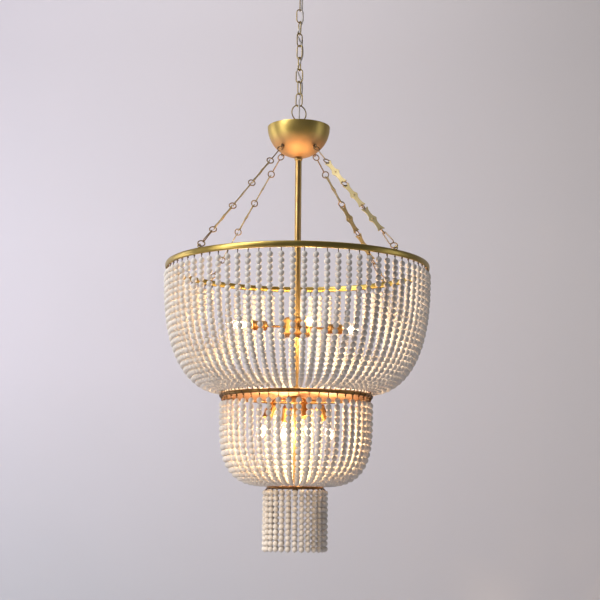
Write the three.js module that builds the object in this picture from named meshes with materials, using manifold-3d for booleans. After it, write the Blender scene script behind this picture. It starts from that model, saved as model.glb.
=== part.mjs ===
// A beaded chandelier. It hangs on a link chain under a ceiling canopy. A brass bowl and a stem carry
// two rings of candle lamps, three hoops and the strands of beads that run between the hoops.
// Millimetres, +Z up. The origin is the centre of the bracket's face on the ceiling.
import * as THREE from 'three';
import { mergeVertices } from 'three/addons/utils/BufferGeometryUtils.js';
import Module from 'manifold-3d';

const wasm = await Module();
wasm.setup();

// Clearances
const seatGap = 0.3; // between pieces that lie on each other
const hangGap = 0.55; // between rings and links that hang in each other, as round wires
const turnGap = 0.6; // round a bulb that screws in its socket
const overrun = 4; // how far a cutting shape runs past what it cuts

// Ceiling bracket and canopy
const bracketLength = 104;
const bracketWidth = 22;
const bracketThickness = 2.5;
const bracketSlotLength = 14;
const bracketSlotWidth = 5;
const bracketSlotPitch = 70;
const nippleRadius = 5;
const canopyRadius = 62;
const canopyDepth = 30;
const canopyWall = 1.5;
const canopyShoulder = 14; // radius of the rounded lower edge
const canopyArcShares = [0, 0.33, 0.67, 1];
const canopyCordHole = 3.4; // radius of the hole that the cord comes out of
const canopyCordPlace = new THREE.Vector2(12, -12);

// Canopy loop, which the top link of the chain hangs on
const canopyLoopRadius = 11;
const canopyLoopWire = 3;
const canopyCollarRadius = 8;
const canopyCollarHeight = 10;

// Chain
const linkCount = 9;
const linkLength = 38; // outside, as the width is
const linkWidth = 20;
const linkWire = 3;
// How far each link's plane is turned from facing front, in degrees, from the lowest link up
const linkTurns = [-24, 66, -18, 72, -42, 42, -72, 22, -90];

// Bowl, its loop and the shank that they are screwed together with
const bowlLoopRadius = 20.5;
const bowlLoopWire = 3;
const bowlLoopTurn = 30;
const loopCollarRadius = 8;
const loopCollarHeight = 10;
const shankRadius = 5;
const bowlRadius = 78;
const bowlWall = 1.5;
const bowlArcShares = [0.2, 0.42, 0.62, 0.82, 1]; // from the bottom up to the rim
const bowlRise = 18; // from the rim up to the top of the collar
const eyeAngle = 46; // of the four eyes below the bowl's rim, in degrees

// Stem, which carries everything inside the tiers
const stemRadius = 8;
const lowerStemRadius = 6;
const stemWall = 1.5;
const stemCollarRadius = 10.5;
const stemCollarHeight = 7;

// Hoops. Each drop is from one to the next, and the first is from the bowl's rim
const upperHoopDrop = 360;
const upperHoopRadius = 320.5;
const upperHoopWidth = 9;
const upperHoopHeight = 15;
const middleHoopDrop = 315;
const middleHoopRadius = 180.5;
const middleHoopWire = 10;
const bottomHoopDrop = 220;
const bottomHoopRadius = 66;
const bottomHoopWire = 6;
const plateThickness = 1.5;
const finialRadius = 7;
const finialHeight = 9;
const finialHookRadius = 4;
const finialHookWire = 2;
const finialHookTurn = 270; // degrees that the open hook goes round

// Strands of beads. A strand is a plain bar as thick as its beads, with a wire hook at each end
const upperStrandCount = 78;
const lowerStrandCount = 48;
const tasselStrandCount = 28;
// How far round each ring of strands starts, as a share of the angle between two strands
const upperStrandPhase = 0.1;
const lowerStrandPhase = 0.27;
const tasselStrandPhase = 0;
const strandHalfWidth = 8.2;
const tasselHalfWidth = 7.4;
const hookRadius = 1.1;
const hookLength = 6.5;
const lowerHookLength = 10;
const upperBeadsRise = 12; // of the upper strands' last beads above the middle hoop's centre line
const tasselBeadGap = 3; // from the bottom hoop down to the tassel's beads
const tasselLength = 148; // of the beads alone
const tasselOffset = 6.5; // of the strands outside the bottom hoop's centre line
// How full each tier hangs: powers of the rounded curve, down the drop and across the radius
const upperTierPowers = { drop: 2.6, across: 2.1 };
const lowerTierPowers = { drop: 4.3, across: 2.6 };
// Where a strand's bends are, as shares of the curve's quarter turn
const upperBendShares = [0.33, 0.68];
const lowerBendShares = [0.16, 0.5];
const crowdShare = 0.54; // of the room between neighbours, the most that half a strand's width takes

// Hangers: four chains of rings and shaped flat bars, from the bowl's eyes to the upper hoop's eyes
const ringRadius = 7.5;
const ringWire = 2.6;
const eyeRadius = 4.6;
const eyeWire = 2.4;
const eyeStand = 3.6; // of an eye's centre above what carries it
const barPitch = 90; // from ring to ring
const barThickness = 2;
const barHalfWidth = 9.6;
const barHoleRadius = 2.7;
const barLand = 4.2; // from a hole's centre to the bar's end
// A quarter of the bar's outline, from its top middle down: shares of half the length and half the width
const barShares = [[0, 0.55], [0.02, 0.84], [0.22, 0.49], [0.6, 0.48], [0.91, 1], [1, 0.93]];
const rodRadius = 1.5;
const pearTopHalfWidth = 3.4;
const pearHalfWidth = 5.6;
// Where each hanger stands and how its three bars and its end link are twisted, in degrees
const hangers = [
  { name: 'front_left', azimuth: 225, twists: [52, 56, 50, 40] },
  { name: 'front_right', azimuth: 315, twists: [28, 18, 42, 30] },
  { name: 'back_right', azimuth: 45, twists: [52, -28, -38, -30] },
  { name: 'back_left', azimuth: 135, twists: [-52, -56, -48, -40] },
];

// Lamps. Angles are in degrees: the arms' turn round the stem and the tilt from straight down
const bulbCapRadius = 6.6;
const bulbCapLength = 18;
const bulbNeckRadius = 8.5;
const bulbRadius = 16.5;
const bulbLength = 66;
// The candle's outline above its neck: shares of its radius and of its length
const bulbShares = [[0.86, 0.2], [1, 0.38], [0.8, 0.66], [0.34, 0.92]];
const socketRadius = 12.5;
const socketLength = 38;
const socketFloor = 6;
const socketEdge = 3;
const armRadius = 3;
const lampCount = 4;
const upperHubRadius = 34;
const upperHubHeight = 47;
const upperHubEdge = 5;
const upperHubDrop = 122; // from the upper hoop to the top of the hub
const upperSocketReach = 76; // from the stem's axis to the back of a socket
const upperLampTurn = 15;
const lowerHubRadius = 15;
const lowerHubHeight = 17;
const lowerHubEdge = 3;
const lowerSocketReach = 60;
const lowerArmBend = 12; // from where a lower arm bends to its socket's line
const lowerSocketDrop = 19; // from the middle hoop to the back of a socket
const lowerLampTurn = 20;
const lowerLampTilt = 21.5;

// Power cord, from inside the canopy down the chain's grooves to the bowl's loop
const cordRadius = 2;
const cordSides = 8;
const cordSteps = 30;
const cordInside = 6; // how far it starts above the canopy's hole
const cordBelowHole = 8;
const cordJointReach = 6.4; // from the chain's axis where two links hang in each other
const cordBulge = 8; // the same beside a link's middle
const cordLoopReach = 5.6; // the same in front of the bowl's loop
// On which side of the chain the cord passes each place where two links meet, from the lowest up
const cordSidesUp = [1, 1, -1, 1, 1, -1, 1, 1];

// Fineness of the round shapes
const wireSides = 5;
const strandSides = 3;
const ringSides = 4;
const ringSteps = 8;
const barHoleSides = 6;
const armSides = 6;
const hoopSides = 6;
const nippleSides = 10;
const pearArcSteps = 4;
const shapeArcSteps = 3;
const finialHookSteps = 5;
const lampSides = 8;
const tubeSides = 12;
const linkArcSteps = 5;
const bowlSteps = 18;
const hoopSteps = 36;
const middleHoopSteps = 32;
const bottomHoopSteps = 20;

const brass = { color: 0xb39a55, roughness: 0.38, metalness: 1 };
const copperBrass = { color: 0x9a7a44, roughness: 0.42, metalness: 1 };
const beads = { color: 0xcfc8bf, roughness: 0.8, metalness: 0 };
const glass = { color: 0xfff2dc, roughness: 0.15, metalness: 0 };
const cordSkin = { color: 0xd8d2cc, roughness: 0.5, metalness: 0 };
const steel = { color: 0xb8b8b8, roughness: 0.45, metalness: 1 };

const chandelier = new THREE.Group();

// The heights of the assembly, worked out from the ceiling down
const canopyBottom = -canopyDepth;
const canopyLoopCentre =
  canopyBottom - seatGap - canopyCollarHeight - canopyLoopRadius + canopyLoopWire / 2;
const chainPivot = canopyLoopCentre - canopyLoopRadius;
const linkPitch = linkLength - 2 * linkWire - hangGap;
const topLinkCentre = chainPivot + (canopyLoopWire + linkWire) / 2 + hangGap - (linkLength - linkWire) / 2;
const bottomLinkCentre = topLinkCentre - (linkCount - 1) * linkPitch;
const bowlPivot = bottomLinkCentre - (linkLength - linkWire) / 2;
const bowlLoopCentre = bowlPivot + (linkWire + bowlLoopWire) / 2 + hangGap - bowlLoopRadius;
const loopCollarTop = bowlLoopCentre - bowlLoopRadius + bowlLoopWire / 2;
const bowlRim = loopCollarTop - bowlRise;
const bowlBottom = bowlRim - bowlRadius;
const upperHoopHeightAt = bowlRim - upperHoopDrop;
const middleHoopAt = upperHoopHeightAt - middleHoopDrop;
const bottomHoopAt = middleHoopAt - bottomHoopDrop;
const upperHubTop = upperHoopHeightAt - upperHubDrop;

// A shape with each corner kept once, so that it stays closed when it is turned and moved
function welded(geometry) {
  const bare = geometry.clone();
  bare.deleteAttribute('normal');
  bare.deleteAttribute('uv');
  const whole = mergeVertices(bare);
  whole.computeVertexNormals();
  return whole;
}

// A welded geometry as a solid, and back
function solidOf(geometry) {
  return new wasm.Manifold(new wasm.Mesh({
    numProp: 3,
    vertProperties: new Float32Array(geometry.attributes.position.array),
    triVerts: new Uint32Array(geometry.index.array),
  }));
}

function geometryOf(solid) {
  const mesh = solid.getMesh();
  const geometry = new THREE.BufferGeometry();
  geometry.setAttribute('position', new THREE.Float32BufferAttribute(mesh.vertProperties, 3));
  geometry.setIndex(new THREE.Uint32BufferAttribute(mesh.triVerts, 1));
  geometry.computeVertexNormals();
  return geometry;
}

function join(geometries) {
  return geometries.map(solidOf).reduce((whole, next) => whole.add(next));
}

// A named piece, put in a group
function piece(name, geometry, look, group = chandelier) {
  const mesh = new THREE.Mesh(geometry, new THREE.MeshStandardMaterial(look));
  mesh.name = name;
  group.add(mesh);
  return mesh;
}

function degrees(angle) {
  return THREE.MathUtils.degToRad(angle);
}

// A body turned from [radius, height] points about Z
function turned(points, steps) {
  const profile = points.map(([radius, height]) => new THREE.Vector2(radius, height));
  return welded(new THREE.LatheGeometry(profile, steps)).rotateX(Math.PI / 2);
}

// A flat shape with a thickness, from z = 0 up
function extruded(shape, thickness) {
  return welded(new THREE.ExtrudeGeometry(shape, {
    depth: thickness,
    bevelEnabled: false,
    curveSegments: shapeArcSteps,
  }));
}

// A bar or wire through [across, up] points of the XZ plane, with a half width at each point. A closed
// one joins its last point to its first
function bar(points, halfWidths, sides, closed = false) {
  const count = points.length;
  const positions = [];
  points.forEach(([across, up], at) => {
    const before = points[closed ? (at + count - 1) % count : Math.max(at - 1, 0)];
    const after = points[closed ? (at + 1) % count : Math.min(at + 1, count - 1)];
    const along = new THREE.Vector2(after[0] - before[0], after[1] - before[1]).normalize();
    for (let side = 0; side < sides; side += 1) {
      const angle = (2 * Math.PI * side) / sides;
      const outward = halfWidths[at] * Math.cos(angle);
      positions.push(across + outward * along.y, halfWidths[at] * Math.sin(angle), up - outward * along.x);
    }
  });
  const index = [];
  for (let at = 0; at < (closed ? count : count - 1); at += 1) {
    for (let side = 0; side < sides; side += 1) {
      const next = (side + 1) % sides;
      const here = at * sides;
      const there = ((at + 1) % count) * sides;
      index.push(here + side, here + next, there + next, here + side, there + next, there + side);
    }
  }
  if (!closed) {
    const last = (count - 1) * sides;
    for (let side = 1; side < sides - 1; side += 1) {
      index.push(0, side + 1, side, last, last + side, last + side + 1);
    }
  }
  const geometry = new THREE.BufferGeometry();
  geometry.setAttribute('position', new THREE.Float32BufferAttribute(positions, 3));
  geometry.setIndex(index);
  geometry.computeVertexNormals();
  return geometry;
}

function wire(points, radius, sides = wireSides, closed = false) {
  return bar(points, points.map(() => radius), sides, closed);
}

// The centre line of a link with round ends, standing up in the XZ plane
function linkLine(topHalfWidth, lowHalfWidth, halfLength, steps) {
  const points = [];
  for (const [end, halfWidth] of [[1, topHalfWidth], [-1, lowHalfWidth]]) {
    for (let step = 0; step <= steps; step += 1) {
      const angle = (Math.PI * step) / steps;
      points.push([
        end * halfWidth * Math.cos(angle),
        end * (halfLength - halfWidth + halfWidth * Math.sin(angle)),
      ]);
    }
  }
  return points;
}

// A round wire ring standing up in the XZ plane, with a flat side where the next ring hangs
function ring(radius, wireWidth, sides = wireSides, steps = ringSteps) {
  const corner = radius / Math.cos(Math.PI / steps);
  return welded(new THREE.TorusGeometry(corner, wireWidth / 2, sides, steps))
    .rotateZ(Math.PI / steps).rotateX(Math.PI / 2);
}

// Ceiling bracket: a flat bar with two screw slots and a threaded nipple welded under its middle
function ceilingBracket() {
  const outline = new THREE.Shape();
  const end = bracketLength / 2 - bracketWidth / 2;
  outline.absarc(end, 0, bracketWidth / 2, -Math.PI / 2, Math.PI / 2);
  outline.absarc(-end, 0, bracketWidth / 2, Math.PI / 2, (3 * Math.PI) / 2);
  for (const side of [-1, 1]) {
    const slot = new THREE.Path();
    const reach = (bracketSlotLength - bracketSlotWidth) / 2;
    const middle = (side * bracketSlotPitch) / 2;
    slot.absarc(middle + reach, 0, bracketSlotWidth / 2, -Math.PI / 2, Math.PI / 2);
    slot.absarc(middle - reach, 0, bracketSlotWidth / 2, Math.PI / 2, (3 * Math.PI) / 2);
    outline.holes.push(slot);
  }
  const plate = extruded(outline, bracketThickness).translate(0, 0, -bracketThickness);
  const nippleEnd = canopyBottom + canopyWall + seatGap;
  const nipple = turned([[0, nippleEnd], [nippleRadius, nippleEnd],
    [nippleRadius, -bracketThickness / 2], [0, -bracketThickness / 2]], nippleSides);
  return geometryOf(join([plate, nipple]));
}

// Canopy: a spun cup with an open top, a rounded lower edge and a hole for the cord
function canopy() {
  const outer = [[0, canopyBottom]];
  const inner = [];
  for (const share of canopyArcShares) {
    const angle = (share * Math.PI) / 2;
    const across = canopyRadius - canopyShoulder;
    const up = canopyBottom + canopyShoulder;
    outer.push([across + canopyShoulder * Math.sin(angle), up - canopyShoulder * Math.cos(angle)]);
    const smaller = canopyShoulder - canopyWall;
    inner.unshift([across + smaller * Math.sin(angle), up - smaller * Math.cos(angle)]);
  }
  const rim = -seatGap;
  const profile = [...outer, [canopyRadius, rim], [canopyRadius - canopyWall, rim], ...inner,
    [0, canopyBottom + canopyWall]];
  const holeTop = canopyBottom + canopyWall + overrun;
  const holeBottom = canopyBottom - overrun;
  const hole = turned([[0, holeBottom], [canopyCordHole, holeBottom], [canopyCordHole, holeTop],
    [0, holeTop]], nippleSides).translate(canopyCordPlace.x, canopyCordPlace.y, 0);
  return geometryOf(solidOf(turned(profile, bowlSteps)).subtract(solidOf(hole)));
}

// A screw collar with a wire loop on it. The loop stands in the XZ plane with its middle at z = 0
function collarLoop(radius, wireWidth, collarRadius, collarHeight, side) {
  const edge = side * (radius - wireWidth / 2);
  const far = edge + side * collarHeight;
  const low = Math.min(edge, far);
  const high = Math.max(edge, far);
  const chamfer = collarRadius - wireWidth / 2;
  const profile = side > 0
    ? [[0, low], [chamfer, low], [collarRadius, low + wireWidth], [collarRadius, high], [0, high]]
    : [[0, low], [collarRadius, low], [collarRadius, high - wireWidth], [chamfer, high], [0, high]];
  return join([ring(radius, wireWidth, wireSides, tubeSides), turned(profile, tubeSides)]);
}

// One chain link, standing up in the XZ plane
function chainLink() {
  const halfWidth = (linkWidth - linkWire) / 2;
  const line = linkLine(halfWidth, halfWidth, (linkLength - linkWire) / 2, linkArcSteps);
  return wire(line, linkWire / 2, wireSides, true);
}

// A point beside the chain, its angle in degrees from the X axis
function besideChain(reach, angle, height) {
  return new THREE.Vector3(reach * Math.cos(degrees(angle)), reach * Math.sin(degrees(angle)), height);
}

// Power cord: it lies in the groove between neighbouring links, and goes through a link's window
// where it changes sides
function powerCord() {
  const route = [];
  const joints = cordSidesUp.map((side, at) => {
    const [below, above] = [linkTurns[at], linkTurns[at + 1]];
    return { side, angle: (Math.max(below, above) + Math.min(below, above)) / 2 };
  });
  const inFront = (bowlLoopTurn + linkTurns[0]) / 2 - 90;
  route.push(besideChain(cordLoopReach, inFront, loopCollarTop + seatGap));
  route.push(besideChain(cordLoopReach, inFront, loopCollarTop + seatGap + 4 * cordRadius));
  route.push(besideChain(cordLoopReach, inFront, bowlPivot + linkWire));
  joints.forEach(({ side, angle }, at) => {
    const middle = bottomLinkCentre + at * linkPitch;
    const before = at === 0 ? null : joints[at - 1];
    if (before && before.side === side) {
      route.push(besideChain(side * cordBulge, (before.angle + angle) / 2, middle));
    } else {
      route.push(new THREE.Vector3(0, 0, middle));
    }
    route.push(besideChain(side * cordJointReach, angle, middle + linkPitch / 2));
  });
  const hole = canopyBottom + canopyWall;
  const holePlace = (height) => new THREE.Vector3(canopyCordPlace.x, canopyCordPlace.y, height);
  const holeAngle = THREE.MathUtils.radToDeg(canopyCordPlace.angle()) - 360;
  route.push(besideChain(cordBulge, holeAngle, topLinkCentre));
  route.push(besideChain(cordBulge, holeAngle, chainPivot));
  route.push(holePlace(canopyBottom - cordBelowHole), holePlace(canopyBottom), holePlace(hole + cordInside));
  const section = new THREE.Shape();
  section.absarc(0, 0, cordRadius, 0, 2 * Math.PI);
  return new THREE.ExtrudeGeometry(section, {
    steps: cordSteps,
    extrudePath: new THREE.CatmullRomCurve3(route),
    curveSegments: cordSides / 2,
  });
}

// Bowl: a spun half ball with its top open, a hole for the shank and four wire eyes on its side
function bowl() {
  const profile = [];
  const holeAngle = Math.asin((shankRadius + seatGap) / bowlRadius);
  profile.push([shankRadius + seatGap, -bowlRadius * Math.cos(holeAngle)]);
  for (const share of bowlArcShares) {
    const angle = (share * Math.PI) / 2;
    profile.push([bowlRadius * Math.sin(angle), -bowlRadius * Math.cos(angle)]);
  }
  const inside = bowlRadius - bowlWall;
  for (const share of [...bowlArcShares].reverse()) {
    const angle = (share * Math.PI) / 2;
    profile.push([inside * Math.sin(angle), -inside * Math.cos(angle)]);
  }
  const innerAngle = Math.asin((shankRadius + seatGap) / inside);
  profile.push([shankRadius + seatGap, -inside * Math.cos(innerAngle)]);
  profile.push(profile[0]);
  let whole = solidOf(turned(profile, bowlSteps));
  const eye = ring(eyeRadius, eyeWire, ringSides, ringSteps);
  for (const hanger of hangers) {
    const centre = bowlEye();
    whole = whole.add(solidOf(eye.clone().translate(centre.x, 0, centre.y - bowlRim)
      .rotateZ(degrees(hanger.azimuth))));
  }
  return geometryOf(whole);
}

// The centres of an eye on the bowl and one on the upper hoop, as radius and height
function bowlEye() {
  const angle = degrees(eyeAngle);
  const reach = bowlRadius + eyeStand;
  return new THREE.Vector2(reach * Math.cos(angle), bowlRim - reach * Math.sin(angle));
}

function hoopEye() {
  return new THREE.Vector2(upperHoopRadius, upperHoopHeightAt + upperHoopHeight / 2 + eyeStand);
}

// Stem: a tube with a collar under the bowl, stepped down inside the upper lamp hub
function stem() {
  const top = bowlBottom - seatGap;
  const collar = top - stemCollarHeight;
  const step = upperHubTop - upperHubHeight / 2 + seatGap;
  const end = bottomHoopAt;
  return turned([
    [lowerStemRadius - stemWall, end], [lowerStemRadius, end], [lowerStemRadius, step],
    [stemRadius, step], [stemRadius, collar], [stemCollarRadius, collar + seatGap],
    [stemCollarRadius, top - stemWall], [stemCollarRadius - stemWall, top],
    [shankRadius, top], [shankRadius, top - stemCollarHeight / 2],
    [lowerStemRadius - stemWall, top - stemCollarHeight], [lowerStemRadius - stemWall, end],
  ], tubeSides);
}

// A hoop whose section is a rounded bar, lying flat round the axis
function hoop(radius, width, height, steps) {
  const section = [];
  for (let side = 0; side <= hoopSides; side += 1) {
    const angle = (2 * Math.PI * (side % hoopSides)) / hoopSides;
    section.push([radius + (width / 2) * Math.cos(angle), (height / 2) * Math.sin(angle)]);
  }
  return turned(section, steps);
}

function upperTier() {
  const topInHoop = -upperHoopHeight / 2 + 2 * hookRadius;
  const curve = tierCurve(upperHoopRadius, topInHoop, middleHoopRadius, upperBeadsRise - middleHoopDrop,
    upperTierPowers);
  const hookEnd = [middleHoopRadius, middleHoopWire / 2 + hookRadius + seatGap - middleHoopDrop];
  const strand = tierStrand(curve, hookLength, upperTierPowers, upperBendShares, hookEnd, upperStrandCount);
  const parts = [hoop(upperHoopRadius, upperHoopWidth, upperHoopHeight, hoopSteps)];
  const eye = ring(eyeRadius, eyeWire, ringSides, ringSteps);
  const centre = hoopEye();
  for (const hanger of hangers) {
    parts.push(eye.clone().translate(centre.x, 0, centre.y - upperHoopHeightAt)
      .rotateZ(degrees(hanger.azimuth)));
  }
  return hoopWithStrands(parts, strand, upperStrandCount, upperStrandPhase);
}

function lowerTier() {
  const topInHoop = -middleHoopWire / 2 + 2 * hookRadius;
  const hookEnd = [bottomHoopRadius + bottomHoopWire / 2 + seatGap, -bottomHoopDrop];
  const curve = tierCurve(middleHoopRadius, topInHoop, ...hookEnd, lowerTierPowers);
  const strand = tierStrand(curve, lowerHookLength, lowerTierPowers, lowerBendShares, hookEnd,
    lowerStrandCount);
  const parts = [hoop(middleHoopRadius, middleHoopWire, middleHoopWire, middleHoopSteps)];
  return hoopWithStrands(parts, strand, lowerStrandCount, lowerStrandPhase);
}

// A flat plate that closes a hoop, with a hole for the stem
function plate(radius, steps) {
  const hole = lowerStemRadius + seatGap;
  return turned([[hole, -plateThickness / 2], [radius, -plateThickness / 2],
    [radius, plateThickness / 2], [hole, plateThickness / 2], [hole, -plateThickness / 2]], steps);
}

// The rounded curve that a tier's strands follow, from its top hook to its last beads. Its point gives
// [radius, height] at a share of the quarter turn
function tierCurve(topRadius, topHeight, endRadius, endHeight, powers) {
  const point = (share) => {
    const angle = (share * Math.PI) / 2;
    const down = Math.sin(angle) ** (2 / powers.drop);
    const across = Math.max(Math.cos(angle), 0) ** (2 / powers.across);
    return [endRadius + (topRadius - endRadius) * across, topHeight + (endHeight - topHeight) * down];
  };
  return { point, drop: topHeight - endHeight, across: topRadius - endRadius };
}

// One strand in the XZ plane: a thin hook in its hoop, the beads as one bar and a thin hook
function tierStrand(curve, topHook, powers, bendShares, hookEnd, count) {
  const firstBead = Math.asin((topHook / curve.drop) ** (powers.drop / 2)) / (Math.PI / 2);
  const lastBead = Math.acos((hookLength / 2 / curve.across) ** (powers.across / 2)) / (Math.PI / 2);
  const points = [0, firstBead, ...bendShares, lastBead].map(curve.point);
  points.push(hookEnd);
  const halfWidths = points.map(([radius], at) => {
    if (at === 0 || at === points.length - 1) return hookRadius;
    return Math.min(strandHalfWidth, crowdShare * 2 * radius * Math.sin(Math.PI / count));
  });
  return bar(points, halfWidths, strandSides);
}

// A hoop and the strands that hang on it, as one body
function hoopWithStrands(parts, strand, count, phase) {
  const strands = [];
  for (let at = 0; at < count; at += 1) {
    strands.push(strand.clone().rotateZ((2 * Math.PI * (at + phase)) / count));
  }
  return geometryOf(join([...parts, ...strands]));
}

// The bottom hoop with the tassel's strands, each on its own wire hook
function tassel() {
  const beadTop = -bottomHoopWire / 2 - tasselBeadGap;
  const radius = bottomHoopRadius + tasselOffset;
  const points = [[bottomHoopRadius + bottomHoopWire / 4, -bottomHoopWire / 4], [radius, beadTop],
    [radius, beadTop - tasselLength]];
  const strand = bar(points, [hookRadius, tasselHalfWidth, tasselHalfWidth], strandSides);
  const parts = [hoop(bottomHoopRadius, bottomHoopWire, bottomHoopWire, bottomHoopSteps)];
  return hoopWithStrands(parts, strand, tasselStrandCount, tasselStrandPhase);
}

// The nut that closes the stem's lower end, with a small open hook under it
function finial() {
  const top = bottomHoopAt - plateThickness / 2 - seatGap;
  const low = top - finialHeight;
  const nut = turned([[0, low], [finialRadius / 2, low], [finialRadius, low + finialHeight / 3],
    [finialRadius, top], [0, top]], lampSides);
  const line = [[0, low + finialHookWire]];
  for (let step = 0; step <= finialHookSteps; step += 1) {
    const angle = Math.PI / 2 - degrees(finialHookTurn) * (step / finialHookSteps);
    line.push([finialHookRadius * Math.cos(angle),
      low - finialHookRadius + finialHookRadius * Math.sin(angle)]);
  }
  return geometryOf(join([nut, wire(line, finialHookWire / 2, ringSides)]));
}

// Turned bodies of the lamps, pointing up from their socket's mouth at z = 0
function bulb() {
  const body = bulbShares.map(([across, up]) => [across * bulbRadius, up * bulbLength]);
  return turned([[0, -bulbCapLength], [bulbCapRadius, -bulbCapLength], [bulbCapRadius, turnGap],
    [bulbNeckRadius, 2 * turnGap], ...body, [0, bulbLength]], lampSides);
}

function socket() {
  const bore = bulbCapRadius + turnGap;
  const floor = -socketLength + socketFloor;
  return turned([[0, -socketLength], [socketRadius - socketEdge, -socketLength],
    [socketRadius, -socketLength + socketEdge], [socketRadius, 0], [bore, 0], [bore, floor],
    [0, floor]], lampSides);
}

function hub(radius, height, edge, upperBore, lowerBore) {
  return turned([[lowerBore, -height], [radius - edge, -height], [radius, -height + edge],
    [radius, -edge], [radius - edge, 0], [upperBore, 0], [upperBore, -height / 2],
    [lowerBore, -height / 2], [lowerBore, -height]], tubeSides);
}

// A ring of lamps: a hub on the stem, its arms and their sockets, and the bulbs. The socket's line
// starts at [reach, drop] under the hub's top and is tilted from straight down
function lamps(name, hubShape, top, armLine, reach, drop, tilt, turn) {
  const parts = [hubShape];
  const seat = new THREE.Matrix4().makeRotationY(Math.PI - tilt);
  const mouth = new THREE.Vector3(0, 0, socketLength).applyMatrix4(seat).add(
    new THREE.Vector3(reach, 0, -drop));
  for (let at = 0; at < lampCount; at += 1) {
    const around = turn + (2 * Math.PI * at) / lampCount;
    parts.push(wire(armLine, armRadius, armSides).rotateZ(around));
    parts.push(socket().applyMatrix4(seat).translate(mouth.x, 0, mouth.z).rotateZ(around));
    const arm = new THREE.Group();
    arm.rotation.z = around;
    arm.position.z = top;
    chandelier.add(arm);
    const glassBulb = piece(`${name}_bulb_${at + 1}`, bulb(), glass, arm);
    glassBulb.position.copy(mouth);
    glassBulb.rotation.y = Math.PI - tilt;
  }
  piece(`${name}_lamp_frame`, geometryOf(join(parts)), brass).position.z = top;
}

// A shaped flat bar in the XZ plane, from z = 0 down: flared ends, waists and a pointed middle
function shapedBar(length) {
  const half = length / 2;
  const side = barShares.map(([down, across]) => [across * barHalfWidth, -down * half]);
  const mirrored = [...side].reverse().slice(1).map(([across, up]) => [across, -length - up]);
  const right = [...side, ...mirrored];
  const left = [...right].reverse().map(([across, up]) => [-across, up]);
  const shape = new THREE.Shape([...right, ...left].map(([across, up]) => new THREE.Vector2(across, up)));
  const hole = [];
  for (let side = 0; side < barHoleSides; side += 1) {
    const angle = (2 * Math.PI * side) / barHoleSides;
    hole.push(new THREE.Vector2(barHoleRadius * Math.cos(angle), barHoleRadius * Math.sin(angle) - barLand));
  }
  shape.holes.push(new THREE.Path(hole));
  return extruded(shape, barThickness).translate(0, 0, -barThickness / 2).rotateX(Math.PI / 2);
}

// A hanger's pieces hang down a line from z = 0. Each is one link with the ring that hangs on it, and
// each ring goes through the hole of the piece below
function hanger({ name, azimuth, twists }) {
  const from = bowlEye();
  const to = hoopEye();
  const line = to.clone().sub(from);
  const side = new THREE.Group();
  side.rotation.z = degrees(azimuth);
  const group = new THREE.Group();
  group.position.set(from.x, 0, from.y);
  group.rotation.y = -Math.atan2(line.x, -line.y);
  side.add(group);
  chandelier.add(side);

  const seat = eyeRadius - eyeWire / 2 - ringWire / 2 - hangGap + ringRadius;
  const shortPitch = (line.length() - 2 * seat - 3 * barPitch) / 2;
  const hookRing = ring(ringRadius, ringWire, ringSides, ringSteps);
  const turnedRing = (twist) => hookRing.clone().rotateZ(degrees(twist));

  const rod = wire([[0, -ringRadius], [0, -shortPitch + ringRadius]], rodRadius, ringSides);
  const rings = [turnedRing(90), turnedRing(twists[0] + 90).translate(0, 0, -shortPitch)];
  piece(`hanger_${name}_top`, geometryOf(join([rod, ...rings])), brass, group).position.z = -seat;

  const holeRest = barHoleRadius - ringWire / 2 - hangGap;
  const barTop = ringRadius + holeRest - barLand;
  const barLength = barPitch - barTop - ringRadius + ringWire;
  const barNames = ['bar_1', 'bar_2', 'bar_3'];
  barNames.forEach((barName, at) => {
    const flat = shapedBar(barLength).translate(0, 0, -barTop).rotateZ(degrees(twists[at]));
    const below = turnedRing(twists[at + 1] + 90).translate(0, 0, -barPitch);
    piece(`hanger_${name}_${barName}`, geometryOf(join([flat, below])), brass, group)
      .position.z = -seat - shortPitch - at * barPitch;
  });

  const pearTop = ringRadius - ringWire - hangGap;
  const pearLength = shortPitch - ringRadius - pearTop;
  const pearLine = linkLine(pearTopHalfWidth, pearHalfWidth, pearLength / 2, pearArcSteps);
  const pear = wire(pearLine, ringWire / 2, ringSides, true)
    .translate(0, 0, -pearTop - pearLength / 2).rotateZ(degrees(twists[3]));
  const lastRing = turnedRing(90).translate(0, 0, -shortPitch);
  piece(`hanger_${name}_end`, geometryOf(join([pear, lastRing])), brass, group)
    .position.z = -seat - shortPitch - barNames.length * barPitch;
}

// The assembly, from the ceiling down
piece('ceiling_bracket', ceilingBracket(), steel);
piece('canopy', canopy(), brass);
const canopyLoop = collarLoop(canopyLoopRadius, canopyLoopWire, canopyCollarRadius, canopyCollarHeight, 1);
piece('canopy_loop', geometryOf(canopyLoop), brass).position.z = canopyLoopCentre;

for (let at = 0; at < linkCount; at += 1) {
  const link = piece(`chain_link_${at + 1}`, chainLink(), brass);
  link.position.z = bottomLinkCentre + at * linkPitch;
  link.rotation.z = degrees(linkTurns[at % linkTurns.length]);
}

piece('power_cord', powerCord(), cordSkin);

const shankTop = loopCollarTop - loopCollarHeight + seatGap;
const shankEnd = bowlBottom - seatGap - stemCollarHeight / 2 + seatGap;
const shank = turned([[0, shankEnd], [shankRadius - seatGap, shankEnd], [shankRadius - seatGap, shankTop],
  [0, shankTop]], tubeSides).translate(0, 0, -bowlLoopCentre);
const bowlLoop = collarLoop(bowlLoopRadius, bowlLoopWire, loopCollarRadius, loopCollarHeight, -1)
  .add(solidOf(shank));
const bowlLoopPiece = piece('bowl_loop', geometryOf(bowlLoop), brass);
bowlLoopPiece.position.z = bowlLoopCentre;
bowlLoopPiece.rotation.z = degrees(bowlLoopTurn);

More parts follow.
